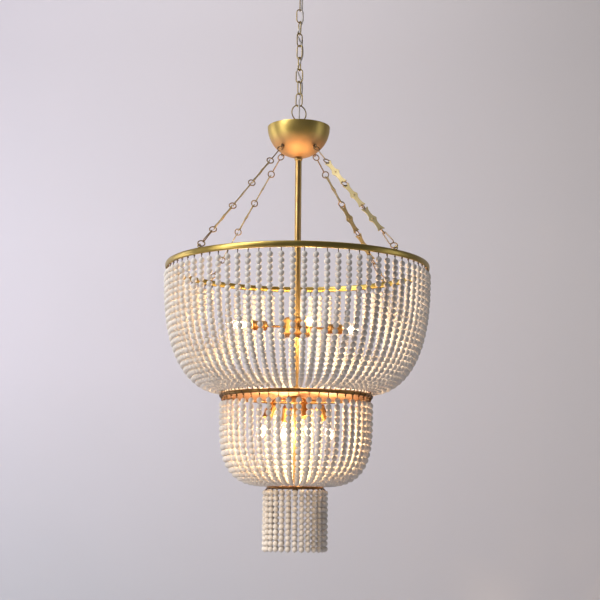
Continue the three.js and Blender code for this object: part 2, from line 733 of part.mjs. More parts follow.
piece('bowl', bowl(), brass).position.z = bowlRim;
piece('stem', stem(), brass);
piece('upper_tier', upperTier(), beads).position.z = upperHoopHeightAt;
hangers.forEach(hanger);

piece('lower_tier', lowerTier(), beads).position.z = middleHoopAt;
const middlePlateRadius = middleHoopRadius - middleHoopWire / 2 - seatGap;
piece('middle_plate', plate(middlePlateRadius, middleHoopSteps), brass).position.z = middleHoopAt;
const bottomPlateRadius = bottomHoopRadius - bottomHoopWire / 2 - seatGap;
piece('bottom_plate', plate(bottomPlateRadius, bottomHoopSteps), copperBrass).position.z = bottomHoopAt;
piece('tassel', tassel(), beads).position.z = bottomHoopAt;
piece('finial', finial(), copperBrass);

const armHeight = upperHubHeight / 2;
const upperHub = hub(upperHubRadius, upperHubHeight, upperHubEdge, stemRadius + seatGap,
  lowerStemRadius + seatGap);
const upperArm = [[upperHubRadius - armRadius, -armHeight], [upperSocketReach + armRadius, -armHeight]];
lamps('upper', upperHub, upperHubTop, upperArm, upperSocketReach, armHeight, Math.PI / 2,
  degrees(upperLampTurn));

const lowerHubTop = middleHoopAt - plateThickness / 2 - seatGap;
const lowerHub = hub(lowerHubRadius, lowerHubHeight, lowerHubEdge, lowerStemRadius + seatGap,
  lowerStemRadius + seatGap);
const lowerTilt = degrees(lowerLampTilt);
const lowerArm = [
  [lowerHubRadius - armRadius, -lowerHubHeight / 2],
  [lowerSocketReach - lowerArmBend, -lowerHubHeight / 2],
  [lowerSocketReach - armRadius, -lowerHubHeight / 2 - armRadius],
  [lowerSocketReach + armRadius * Math.sin(lowerTilt),
    -lowerSocketDrop - armRadius * Math.cos(lowerTilt)],
];
lamps('lower', lowerHub, lowerHubTop, lowerArm, lowerSocketReach, lowerSocketDrop, lowerTilt,
  degrees(lowerLampTurn));

export default chandelier;
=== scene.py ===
"""A beaded chandelier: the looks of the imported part. Metres, +Z up, origin at the ceiling.

Shapes are worked out in millimetres, as the part's source has them, and made metres in Form.make.
"""

import bisect
import bpy
import math
import random
from mathutils import Matrix, Vector


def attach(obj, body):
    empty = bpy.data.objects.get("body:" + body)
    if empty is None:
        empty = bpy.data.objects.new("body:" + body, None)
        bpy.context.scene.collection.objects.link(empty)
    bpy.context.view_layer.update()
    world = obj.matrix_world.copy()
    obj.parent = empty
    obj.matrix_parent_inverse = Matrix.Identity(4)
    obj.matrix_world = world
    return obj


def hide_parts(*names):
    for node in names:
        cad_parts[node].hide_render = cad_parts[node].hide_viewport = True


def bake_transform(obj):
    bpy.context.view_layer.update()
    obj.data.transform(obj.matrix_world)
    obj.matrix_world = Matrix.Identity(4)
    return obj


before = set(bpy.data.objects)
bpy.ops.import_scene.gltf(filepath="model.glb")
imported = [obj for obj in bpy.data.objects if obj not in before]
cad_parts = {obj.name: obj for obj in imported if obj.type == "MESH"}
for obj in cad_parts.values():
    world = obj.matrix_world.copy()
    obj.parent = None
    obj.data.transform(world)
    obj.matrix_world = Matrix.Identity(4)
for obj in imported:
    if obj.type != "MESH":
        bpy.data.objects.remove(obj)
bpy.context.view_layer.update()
scene = bpy.context.scene
MM = 0.001
TAU = 2 * math.pi

# Camera, fitted to the photograph's hoops
LENS_MM = 81.68
SENSOR_MM = 36.0
CAMERA_DISTANCE = 3.3076
CAMERA_HEIGHT = -1.3475
PITCH = math.radians(8.80)
ROLL = math.radians(0.55)
YAW = math.radians(-0.123)


def make_camera():
    """The photograph's camera, level with the tassel and looking up."""
    data = bpy.data.cameras.new("camera")
    data.lens = LENS_MM
    data.sensor_width = SENSOR_MM
    camera = bpy.data.objects.new("camera", data)
    scene.collection.objects.link(camera)
    camera.location = (0, -CAMERA_DISTANCE, CAMERA_HEIGHT)
    look = Matrix.Rotation(YAW, 4, "Z") @ Matrix.Rotation(math.pi / 2 + PITCH, 4, "X")
    camera.rotation_euler = (look @ Matrix.Rotation(ROLL, 4, "Z")).to_euler()
    scene.camera = camera


make_camera()


def add_light(name, kind, place, watts, colour, aim=None, **values):
    """A light at a place in metres, turned to a point if aim gives one. values are its other settings."""
    data = bpy.data.lights.new(name, kind)
    data.energy = watts
    data.color = colour
    for key, value in values.items():
        setattr(data, key, value)
    light = bpy.data.objects.new(name, data)
    scene.collection.objects.link(light)
    light.location = place
    if aim:
        light.rotation_euler = (aim - light.location).to_track_quat("-Z", "Y").to_euler()
    return light


# Sizes of the part, in millimetres, as in its source
CANOPY_RADIUS, CANOPY_DEPTH, CANOPY_SHOULDER, SHEET = 62, 30, 14, 1.5
CORD_HOLE = Vector((12, -12))
CHAIN_LOOP_RADIUS, LINK_WIRE = 11, 3
LINK_LENGTH, LINK_WIDTH, LINK_COUNT = 38, 20, 9
LINK_TURNS = [-24, 66, -18, 72, -42, 42, -72, 22, -90]
BOWL_LOOP_RADIUS, BOWL_LOOP_TURN = 20.5, 30
COLLAR_RADIUS, COLLAR_HEIGHT = 8, 10
# A screw collar's end at its loop: how far out from its radius and how far along from the loop
COLLAR_TAPER = [(-COLLAR_RADIUS, 0), (-3, 0), (-1.2, 0.7), (0, 2.4)]
COLLAR_GROOVE, GROOVE_DEPTH, GROOVE_EASE = 2.0, 0.8, 0.6
BOWL_RADIUS, BOWL_RISE, EYE_ANGLE = 78, 18, 46
BOWL_BORE, SHANK_RADIUS, SHANK_END, SHANK_GRIP = 5.3, 4.7, 3, 1
# Heights on the bowl between which it turns rougher and takes on a painted warm glow colour
BOWL_SATIN_AND_PAINTED_GLOW_TOP, BOWL_SATIN_AND_PAINTED_GLOW_LOW = 26, 48
STEM_RADIUS, LOWER_STEM_RADIUS, STEM_BORE, STEM_STEP = 8, 6, 4.5, 23.2
STEM_SEAT_RADIUS, STEM_SEAT_DEPTH = 5, 6
# The stem's collar under the bowl: how far out from the stem and how far down from its top
STEM_COLLAR = [(0, 8.2), (0.9, 7.6), (2.3, 4.2), (2.5, 2.0), (1.4, 0.6), (0, 0)]
UPPER_DROP, MIDDLE_DROP, BOTTOM_DROP, UPPER_HUB_DROP = 360, 315, 220, 122
UPPER_RADIUS, MIDDLE_RADIUS, BOTTOM_RADIUS = 320.5, 180.5, 66
UPPER_WIDTH, UPPER_HEIGHT, MIDDLE_WIRE, BOTTOM_WIRE = 9, 15, 10, 6
UPPER_COUNT, LOWER_COUNT, TASSEL_COUNT = 78, 48, 28
UPPER_PHASE, LOWER_PHASE, TASSEL_PHASE = 0.1, 0.27, 0.0
UPPER_BEADS_RISE, TASSEL_GAP = 12, 3
LOWER_BEADS_RISE, UPPER_HOOK, LOWER_HOOK = 7, 9.5, 10
TASSEL_LENGTH, TASSEL_OFFSET, HOOK_LENGTH = 148, 6.5, 6.5
HOOK_WIRE_RADIUS, WIRE_IN_BEAD = 1.0, 1.5
RING_RADIUS, RING_WIRE, EYE_RADIUS, EYE_WIRE, EYE_STAND = 7.5, 2.6, 4.6, 2.4, 3.6
BAR_PITCH, BAR_HALF_WIDTH, BAR_THICKNESS, BAR_LAND, BAR_HOLE = 90, 9.6, 2.0, 4.2, 2.7
ROD_RADIUS, PEAR_TOP, PEAR_LOW = 1.5, 3.4, 5.6
HANG_GAP, SEAT_GAP = 0.55, 0.3
PLATE_THICKNESS, PLATE_CORNER, PLATE_BORE = 1.5, 0.4, 6.3
# Where each hanger stands, how its bars and end link are twisted, and how its rings are turned
HANGERS = [(225, (52, 56, 50, 48), (105, 142, 146, 140, 130, 135)),
           (315, (35, 40, 47, 30), (78, 78, 70, 132, 120, 50)),
           (45, (66, -28, -38, -30), (100, 142, 102, 75, 60, 90)),
           (135, (-52, -56, -48, -40), (80, 38, 34, 42, 50, 90))]
CORD_RADIUS = 2
# How far the cord's middle lies from the chain's: in the bowl's loop, in a link's groove, beside a link
CORD_IN_LOOP, CORD_IN_GROOVE, CORD_BESIDE = 5.6, 6.4, 8
CORD_LEAD, CORD_END = 8, 6
CORD_SIDES_UP = [1, 1, -1, 1, 1, -1, 1, 1]

# Heights, from the ceiling down
CANOPY_BOTTOM = -CANOPY_DEPTH
CANOPY_LOOP = CANOPY_BOTTOM - SEAT_GAP - COLLAR_HEIGHT - CHAIN_LOOP_RADIUS + LINK_WIRE / 2
CHAIN_PIVOT = CANOPY_LOOP - CHAIN_LOOP_RADIUS
LINK_PITCH = LINK_LENGTH - 2 * LINK_WIRE - HANG_GAP
TOP_LINK = CHAIN_PIVOT + LINK_WIRE + HANG_GAP - (LINK_LENGTH - LINK_WIRE) / 2
BOTTOM_LINK = TOP_LINK - (LINK_COUNT - 1) * LINK_PITCH
BOWL_PIVOT = BOTTOM_LINK - (LINK_LENGTH - LINK_WIRE) / 2
BOWL_LOOP = BOWL_PIVOT + LINK_WIRE + HANG_GAP - BOWL_LOOP_RADIUS
LOOP_COLLAR_TOP = BOWL_LOOP - BOWL_LOOP_RADIUS + LINK_WIRE / 2
RIM = LOOP_COLLAR_TOP - BOWL_RISE
BOWL_BOTTOM = RIM - BOWL_RADIUS
UPPER = RIM - UPPER_DROP
MIDDLE = UPPER - MIDDLE_DROP
BOTTOM = MIDDLE - BOTTOM_DROP
UPPER_HUB = UPPER - UPPER_HUB_DROP
LOWER_HUB = MIDDLE - PLATE_THICKNESS / 2 - SEAT_GAP


class Form:
    """Points and faces of one piece, in millimetres."""

    def __init__(self):
        self.points = []
        self.faces = []

    def add(self, points, faces, place=None):
        start = len(self.points)
        self.points += [place @ Vector(p) for p in points] if place else [Vector(p) for p in points]
        self.faces += [tuple(i + start for i in face) for face in faces]
        return self

    def put(self, other, place=None):
        return self.add(other.points, other.faces, place)

    def make(self, name, look, sharp=40):
        """The piece as an object in metres, smooth but for edges over the sharp angle."""
        mesh = bpy.data.meshes.new(name)
        mesh.from_pydata([p * MM for p in self.points], [], self.faces)
        mesh.shade_smooth()
        mesh.set_sharp_from_angle(angle=math.radians(sharp))
        mesh.materials.append(look)
        mesh.update()
        obj = bpy.data.objects.new(name, mesh)
        scene.collection.objects.link(obj)
        return obj

    def build(self, name, body, look, slot, nodes=(), sharp=40):
        """The piece as an object that rides on a body, in place of some nodes of the CAD."""
        obj = self.make(name, look, sharp)
        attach(obj, body)
        if nodes:
            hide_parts(*nodes)


def lathe(profile, steps=64):
    """A body turned about Z from (radius, height) points. A point at radius 0 closes the end."""
    form = Form()
    rows = []
    for radius, height in profile:
        if radius == 0:
            rows.append([len(form.points)] * steps)
            form.points.append(Vector((0, 0, height)))
            continue
        rows.append([len(form.points) + k for k in range(steps)])
        for k in range(steps):
            a = TAU * k / steps
            form.points.append(Vector((radius * math.cos(a), radius * math.sin(a), height)))
    for low, high in zip(rows, rows[1:]):
        for k in range(steps):
            n = (k + 1) % steps
            face = []
            for i in (low[k], low[n], high[n], high[k]):
                if i not in face:
                    face.append(i)
            if len(face) > 2:
                form.faces.append(tuple(face))
    return form


def closed_lathe(profile, steps=64):
    """A body turned about Z with a hole through it, from a profile that closes on itself."""
    return lathe(list(profile) + [profile[0]], steps)


def tube(line, radius, sides=10, closed=False, across=None):
    """A round wire along points. radius is one number or one for each point."""
    count = len(line)
    line = [Vector(p) for p in line]
    radii = radius if isinstance(radius, (list, tuple)) else [radius] * count
    form = Form()
    tangents = []
    for i in range(count):
        before = line[i - 1] if closed else line[max(i - 1, 0)]
        after = line[(i + 1) % count] if closed else line[min(i + 1, count - 1)]
        tangents.append((after - before).normalized())
    side = Vector(across) if across else tangents[0].orthogonal()
    for i in range(count):
        side = (side - tangents[i] * side.dot(tangents[i])).normalized()
        other = tangents[i].cross(side)
        for k in range(sides):
            a = TAU * k / sides
            form.points.append(line[i] + (side * math.cos(a) + other * math.sin(a)) * radii[i])
    for i in range(count if closed else count - 1):
        here, there = i * sides, ((i + 1) % count) * sides
        for k in range(sides):
            n = (k + 1) % sides
            form.faces.append((here + k, here + n, there + n, there + k))
    if not closed:
        form.faces.append(tuple(reversed(range(sides))))
        form.faces.append(tuple((count - 1) * sides + k for k in range(sides)))
    return form


def torus(radius, wire, steps=28, sides=10):
    """A ring standing up in the XZ plane."""
    line = [(radius * math.cos(TAU * k / steps), 0, radius * math.sin(TAU * k / steps))
            for k in range(steps)]
    return tube(line, wire / 2, sides, True, (0, 1, 0))


def link_line(top, low, half, steps=10):
    """The centre line of a link with round ends, standing up in the XZ plane."""
    line = []
    for end, width in ((1, top), (-1, low)):
        for k in range(steps + 1):
            a = math.pi * k / steps
            line.append((end * width * math.cos(a), 0, end * (half - width + width * math.sin(a))))
    return line


def shift(x=0, y=0, z=0):
    return Matrix.Translation((x, y, z))


def turn(degrees, axis="Z"):
    return Matrix.Rotation(math.radians(degrees), 4, axis)


def rounded(points, radius, steps=4):
    """A profile with its inner corners rounded."""
    out = [points[0]]
    for before, here, after in zip(points, points[1:], points[2:]):
        b, h, a = Vector(before), Vector(here), Vector(after)
        reach = min(radius, (b - h).length * 0.45, (a - h).length * 0.45)
        start = h + (b - h).normalized() * reach
        end = h + (a - h).normalized() * reach
        for k in range(steps + 1):
            t = k / steps
            p = start * (1 - t) ** 2 + h * 2 * t * (1 - t) + end * t * t
            out.append((p.x, p.y))
    out.append(points[-1])
    return out


# Materials


class Look:
    """A node material with short ways to add its nodes."""

    def __init__(self, name):
        self.material = bpy.data.materials.new(name)
        self.material.use_nodes = True
        self.tree = self.material.node_tree
        self.shader = self.tree.nodes["Principled BSDF"]
        self.place = self.node("ShaderNodeTexCoord").outputs["Object"]

    def node(self, kind, **values):
        """A new node. Each value is a property of the node or, failing that, the value of an input."""
        node = self.tree.nodes.new(kind)
        for key, value in values.items():
            if hasattr(node, key):
                setattr(node, key, value)
            else:
                node.inputs[key].default_value = value
        return node

    def link(self, a, b):
        self.tree.links.new(a, b)

    def noise(self, scale, detail=4, rough=0.55, source=None):
        node = self.node("ShaderNodeTexNoise", Scale=scale, Detail=detail, Roughness=rough)
        self.link(source or self.place, node.inputs["Vector"])
        return node.outputs["Fac"]

    def stretch(self, x, y, z):
        node = self.node("ShaderNodeMapping")
        node.inputs["Scale"].default_value = (x, y, z)
        self.link(self.place, node.inputs["Vector"])
        return node.outputs["Vector"]

    def span(self, source, low, high, to_low, to_high):
        """source from low to high, carried over to the other two values."""
        node = self.node("ShaderNodeMapRange")
        for i, value in enumerate((low, high, to_low, to_high)):
            node.inputs[i + 1].default_value = value
        self.link(source, node.inputs[0])
        return node.outputs[0]

    def mix(self, fac, a, b):
        """A colour between a and b. Each of the three is a value or another node's output."""
        node = self.node("ShaderNodeMix", data_type="RGBA")
        for i, value in ((0, fac), (6, a), (7, b)):
            if isinstance(value, (int, float, tuple)):
                node.inputs[i].default_value = value if isinstance(value, (int, float)) else (*value, 1)
            else:
                self.link(value, node.inputs[i])
        return node.outputs[2]

    def ramp(self, source, stops):
        node = self.node("ShaderNodeValToRGB")
        ramp = node.color_ramp
        while len(ramp.elements) < len(stops):
            ramp.elements.new(0.5)
        for element, (position, colour) in zip(ramp.elements, stops):
            element.position = position
            element.color = (*colour, 1)
        self.link(source, node.inputs[0])
        return node.outputs[0]

    def colour(self, source):
        self.link(source, self.shader.inputs["Base Color"])

    def rough(self, source):
        self.link(source, self.shader.inputs["Roughness"])

    def bump(self, source, strength, distance):
        """Adds relief on top of any that is there."""
        node = self.node("ShaderNodeBump", Strength=strength, Distance=distance)
        self.link(source, node.inputs["Height"])
        before = self.shader.inputs["Normal"].links
        if before:
            self.link(before[0].from_socket, node.inputs["Normal"])
        self.link(node.outputs[0], self.shader.inputs["Normal"])

    def set(self, **values):
        for key, value in values.items():
            self.shader.inputs[key.replace("_", " ")].default_value = value
        return self


def brass_look(name, light, dark, rough, spun=False, lower=None):
    """Satin antique brass: an even patina, a little darker where it gathers, with fine brushing. lower gives
    two heights, and the roughness and the colour that it comes to between them; that colour is a painted warm
    glow of the lamps' light."""
    look = Look(name).set(Metallic=1.0)
    base = look.ramp(look.noise(14, 5, 0.55), [(0.25, dark), (0.75, light)])
    spots = look.span(look.noise(420, 3), 0.66, 0.8, 0, 0 if spun else 0.15)
    patina = look.mix(spots, base, tuple(c * 0.7 for c in dark))
    satin = look.span(look.noise(40, 4), 0.3, 0.7, rough - 0.03, rough + 0.05)
    if lower:
        start, end, low_rough, painted_glow_colour = lower
        axes = look.node("ShaderNodeSeparateXYZ")
        look.link(look.place, axes.inputs[0])
        height = axes.outputs[2]
        add = look.node("ShaderNodeMath", operation="ADD")
        look.link(satin, add.inputs[0])
        look.link(look.span(height, start * MM, end * MM, 0, low_rough - rough), add.inputs[1])
        satin = add.outputs[0]
        # Towards the bottom the colour turns to a painted warm glow of the bulbs' light
        patina = look.mix(look.span(height, start * MM, end * MM, 0, 1), patina, painted_glow_colour)
    look.colour(patina)
    look.rough(satin)
    brushing = look.stretch(0.2, 0.2, 6) if spun else look.stretch(1, 1, 9)
    look.bump(look.noise(900, 2, 0.5, brushing), 0.06, 0.0001)
    return look.material


def bead_look():
    """Whitewashed turned wood: smooth chalky paint over faint grain, each bead its own shade."""
    look = Look("whitewashed_wood")
    each = look.node("ShaderNodeNewGeometry").outputs["Random Per Island"]
    paint = look.ramp(each, [(0.0, (0.58, 0.54, 0.50)), (0.5, (0.62, 0.58, 0.54)), (1.0, (0.66, 0.62, 0.58))])
    grain = look.noise(260, 4, 0.55, look.stretch(1, 1, 0.3))
    paint = look.mix(look.span(grain, 0.62, 0.8, 0, 0.2), paint, (0.50, 0.42, 0.37))
    look.colour(look.mix(look.span(look.noise(700, 2), 0.4, 0.7, 0, 0.1), paint, (0.74, 0.70, 0.67)))
    look.rough(look.span(grain, 0.3, 0.7, 0.55, 0.68))
    look.bump(grain, 0.06, 0.0002)
    return look.material


def wire_look():
    """Dark wire of the strands' hooks."""
    look = Look("dark_wire").set(Metallic=1.0)
    look.colour(look.ramp(look.noise(150, 4), [(0.3, (0.07, 0.045, 0.025)), (0.7, (0.20, 0.125, 0.065))]))
    look.rough(look.span(look.noise(200, 3), 0.3, 0.7, 0.35, 0.5))
    return look.material


def glow_look(name, strength, edge):
    """Glass or glow of a lit candle bulb: an even warm light, and the clearness of thin glass. edge gives the
    cover where the glass is seen face on and at its edge."""
    look = Look(name).set(Roughness=0.08, Emission_Strength=strength)
    look.shader.inputs["Base Color"].default_value = (0.06, 0.055, 0.05, 1)
    seeds = look.span(look.noise(160, 3), 0.3, 0.7, 0, 1)
    look.link(look.mix(seeds, (1.0, 0.80, 0.52), (1.0, 0.86, 0.64)), look.shader.inputs["Emission Color"])
    facing = look.node("ShaderNodeLayerWeight", Blend=0.5).outputs["Facing"]
    look.link(look.span(facing, 0.15, 0.95, *edge), look.shader.inputs["Alpha"])
    return look.material


def cord_look():
    """Pale, slightly clear cable skin."""
    look = Look("clear_cord").set(Roughness=0.3, IOR=1.5)
    look.colour(look.ramp(look.noise(60, 3), [(0.3, (0.50, 0.47, 0.45)), (0.7, (0.66, 0.63, 0.60))]))
    look.set(Transmission_Weight=0.25)
    look.bump(look.noise(500, 2, 0.5, look.stretch(1, 1, 0.1)), 0.15, 0.0002)
    return look.material


def steel_look():
    """Plated steel of the hidden bracket."""
    look = Look("plated_steel").set(Metallic=1.0)
    look.colour(look.ramp(look.noise(25, 5), [(0.3, (0.42, 0.42, 0.42)), (0.7, (0.6, 0.6, 0.59))]))
    look.rough(look.span(look.noise(700, 3, 0.6, look.stretch(1, 12, 1)), 0.3, 0.7, 0.3, 0.5))
    return look.material


def seat_look():
    """Near-black: painted shade where a part meets another, and the cord's own dark bushing."""
    look = Look("bushing_and_painted_shade")
    look.colour(look.ramp(look.noise(200, 4), [(0.3, (0.03, 0.02, 0.012)), (0.7, (0.07, 0.045, 0.03))]))
    look.rough(look.span(look.noise(400, 3), 0.3, 0.7, 0.45, 0.58))
    return look.material


brass = brass_look("satin_brass", (0.45, 0.33, 0.10), (0.37, 0.265, 0.07), 0.34)
# The bowl is rougher towards the bottom and there takes a warmer orange colour, a painted glow of the upper
# bulbs' light.
spun_brass = brass_look("spun_brass", (0.54, 0.395, 0.125), (0.465, 0.335, 0.095), 0.40, True,
                        (RIM - BOWL_SATIN_AND_PAINTED_GLOW_TOP, RIM - BOWL_SATIN_AND_PAINTED_GLOW_LOW, 0.56, (0.56, 0.33, 0.15)))
stem_brass = brass_look("stem_brass", (0.50, 0.335, 0.135), (0.42, 0.27, 0.10), 0.34)
# An orange copy of the brass for the lamp arms, hub and sockets: the orange is painted warm light of the
# bulbs.
lamp_brass_painted_glow = brass_look("lamp_brass_painted_glow", (0.42, 0.235, 0.08), (0.33, 0.185, 0.06), 0.5)
bar_brass = brass_look("bar_brass", (0.43, 0.35, 0.19), (0.36, 0.29, 0.15), 0.5)
chain_brass = brass_look("chain_brass", (0.40, 0.30, 0.125), (0.26, 0.185, 0.075), 0.32)
ring_brass = brass_look("ring_brass", (0.30, 0.20, 0.10), (0.17, 0.105, 0.055), 0.34)
disc_brass = brass_look("disc_brass", (0.37, 0.185, 0.065), (0.30, 0.145, 0.048), 0.5)
# A darker copy of the brass for the middle hoop: painted shade.
middle_brass_painted_shade = brass_look("middle_brass_painted_shade", (0.28, 0.16, 0.06), (0.19, 0.105, 0.036), 0.36)
copper = brass_look("dark_copper", (0.30, 0.165, 0.07), (0.20, 0.105, 0.045), 0.36)
wood = bead_look()
wire = wire_look()
clear_bulb = glow_look("clear_bulb", 0.2, (0.06, 0.35))
lit_core = glow_look("lit_core", 4.0, (1.0, 0.0))
clear_cord = cord_look()
steel = steel_look()
bushing_and_painted_shade = seat_look()

# Ceiling fitting and chain

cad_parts["ceiling_bracket"].material_slots[0].material = steel


def make_canopy():
    """The spun cup over the ceiling box, with a bushing for the cord in its floor."""
    steps, flat, edge, corner = 12, 9, 1.0, 0.4
    middle, inner = CANOPY_RADIUS - CANOPY_SHOULDER, CANOPY_SHOULDER - SHEET
    centre = CANOPY_BOTTOM + CANOPY_SHOULDER
    angles = [math.pi / 2 * k / steps for k in range(steps + 1)]
    outside = [(middle + CANOPY_SHOULDER * math.sin(a), centre - CANOPY_SHOULDER * math.cos(a))
               for a in angles]
    inside = [(middle + inner * math.sin(a), centre - inner * math.cos(a)) for a in reversed(angles)]
    profile = [(0, CANOPY_BOTTOM), (flat, CANOPY_BOTTOM), *outside, (CANOPY_RADIUS, -edge),
               (CANOPY_RADIUS - corner, -SEAT_GAP), (CANOPY_RADIUS - SHEET, -SEAT_GAP), *inside,
               (0, CANOPY_BOTTOM + SHEET)]
    lathe(profile, 96).build("canopy_cup", "canopy", spun_brass, "antique_brass", ["canopy"])
    bore, collar, flange, neck = CORD_RADIUS + SEAT_GAP, 4.2, 5.2, 4.0
    under, bevel, over = CANOPY_BOTTOM - 1.6, CANOPY_BOTTOM - 0.8, CANOPY_BOTTOM + 2.5
    bushing = closed_lathe([(bore, under), (collar, under), (flange, bevel), (flange, CANOPY_BOTTOM),
                            (neck, over), (bore, over)], 32)
    Form().put(bushing, shift(CORD_HOLE.x, CORD_HOLE.y)).build(
        "cord_bushing", "canopy", bushing_and_painted_shade, "cord_skin")


def collar_loop(radius, side):
    """A loop in the XZ plane about z = 0 with its screw collar, above it (1) or below it (-1)."""
    form = torus(radius, LINK_WIRE, 48, 12)
    edge = radius - LINK_WIRE / 2
    far = edge + COLLAR_HEIGHT
    groove = far - COLLAR_GROOVE
    profile = [(COLLAR_RADIUS + out, edge + along) for out, along in COLLAR_TAPER]
    profile += [(COLLAR_RADIUS, groove), (COLLAR_RADIUS - GROOVE_DEPTH, groove + GROOVE_EASE),
                (COLLAR_RADIUS - GROOVE_DEPTH, far), (0, far)]
    flip = Matrix.Identity(4) if side > 0 else turn(180, "X")
    return form.put(lathe(rounded(profile, 0.6, 3), 48), flip)


make_canopy()
Form().put(collar_loop(CHAIN_LOOP_RADIUS, 1), shift(z=CANOPY_LOOP)).build(
    "canopy_loop_ring", "canopy", chain_brass, "antique_brass", ["canopy_loop"])


def make_links():
    """Nine stadium links, each with the brazed joint in the middle of one side."""
    half = (LINK_WIDTH - LINK_WIRE) / 2
    line = link_line(half, half, (LINK_LENGTH - LINK_WIRE) / 2, 14)
    one = tube(line, LINK_WIRE / 2, 12, True, (0, 1, 0))
    seam = [(-2.2, -0.1), (-1.2, 0.18), (1.2, 0.18), (2.2, -0.1)]
    one.put(tube([(half, 0, along) for along, _ in seam], [LINK_WIRE / 2 + more for _, more in seam], 12))
    for at in range(LINK_COUNT):
        place = shift(z=BOTTOM_LINK + at * LINK_PITCH) @ turn(LINK_TURNS[at])
        body = "fixture" if at == 0 else "chain"
        Form().put(one, place).build(
            f"link_{at + 1}", body, chain_brass, "antique_brass", [f"chain_link_{at + 1}"])


make_links()


def catmull(points, steps):
    """A smooth curve through points, with some steps between each two, as the part's source has it."""
    def between(a, b, start, end, t):
        return a * ((end - t) / (end - start)) + b * ((t - start) / (end - start))

    out = []
    ends = [points[0] * 2 - points[1], *points, points[-1] * 2 - points[-2]]
    for i in range(len(points) - 1):
        p = ends[i:i + 4]
        times = [0]
        for a, b in zip(p, p[1:]):
            times.append(times[-1] + max((b - a).length, 1e-6) ** 0.5)
        t0, t1, t2, t3 = times
        for k in range(steps):
            t = t1 + (t2 - t1) * k / steps
            a1, a2 = between(p[0], p[1], t0, t1, t), between(p[1], p[2], t1, t2, t)
            a3 = between(p[2], p[3], t2, t3, t)
            b1, b2 = between(a1, a2, t0, t2, t), between(a2, a3, t1, t3, t)
            out.append(between(b1, b2, t1, t2, t))
    out.append(points[-1])
    return out


def beside_chain(reach, degrees, height):
    """A point some way out from the chain's middle line."""
    a = math.radians(degrees)
    return Vector((reach * math.cos(a), reach * math.sin(a), height))


def cord_route():
    """The power cord from the bowl's loop up the chain's grooves to inside the canopy."""
    joints = [(side, (LINK_TURNS[at] + LINK_TURNS[at + 1]) / 2) for at, side in enumerate(CORD_SIDES_UP)]
    front = (BOWL_LOOP_TURN + LINK_TURNS[0]) / 2 - 90
    foot = LOOP_COLLAR_TOP + SEAT_GAP
    route = [beside_chain(CORD_IN_LOOP, front, height)
             for height in (foot, foot + 4 * CORD_RADIUS, BOWL_PIVOT + LINK_WIRE)]
    for at, (side, angle) in enumerate(joints):
        middle = BOTTOM_LINK + at * LINK_PITCH
        if at and joints[at - 1][0] == side:
            route.append(beside_chain(side * CORD_BESIDE, (joints[at - 1][1] + angle) / 2, middle))
        else:
            route.append(Vector((0, 0, middle)))
        route.append(beside_chain(side * CORD_IN_GROOVE, angle, middle + LINK_PITCH / 2))
    hole_angle = math.degrees(math.atan2(CORD_HOLE.y, CORD_HOLE.x))
    route += [beside_chain(CORD_BESIDE, hole_angle, height) for height in (TOP_LINK, CHAIN_PIVOT)]
    for height in (CANOPY_BOTTOM - CORD_LEAD, CANOPY_BOTTOM, CANOPY_BOTTOM + SHEET + CORD_END):
        route.append(Vector((CORD_HOLE.x, CORD_HOLE.y, height)))
    return route


def make_cord():
    """The cord in two lengths, split level with the fourth link from the top."""
    line = catmull(cord_route(), 7)
    middle = TOP_LINK - 3 * LINK_PITCH
    cut = min(range(len(line)), key=lambda i: abs(line[i].z - middle))
    for name, part, a, b, pivot in (
            ("cord_low", line[:cut + 1], "chain", "fixture", "fixture_tilt"),
            ("cord_high", line[cut:], "canopy", "chain", "chain_sway")):
        obj = tube(part, CORD_RADIUS, 12).make(name, clear_cord, 50)
        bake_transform(obj)
        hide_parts("power_cord")


make_cord()

# Bowl with its loop, and the stem

SHANK_TOP = LOOP_COLLAR_TOP - COLLAR_HEIGHT + SHANK_GRIP
shank = lathe([(0, BOWL_BOTTOM - SHANK_END), (SHANK_RADIUS, BOWL_BOTTOM - SHANK_END),
               (SHANK_RADIUS, SHANK_TOP), (0, SHANK_TOP)], 24)
Form().put(collar_loop(BOWL_LOOP_RADIUS, -1), shift(z=BOWL_LOOP) @ turn(BOWL_LOOP_TURN)).put(shank).build(
    "bowl_loop_ring", "fixture", chain_brass, "antique_brass", ["bowl_loop"])


def bowl_eye():
    """The middle of a wire eye on the bowl, as (distance from the axis, height)."""
    a = math.radians(EYE_ANGLE)
    reach = BOWL_RADIUS + EYE_STAND
    return Vector((reach * math.cos(a), RIM - reach * math.sin(a)))


def hoop_eye():
    """The middle of a wire eye on the upper hoop, as (distance from the axis, height)."""
    return Vector((UPPER_RADIUS, UPPER + UPPER_HEIGHT / 2 + EYE_STAND))


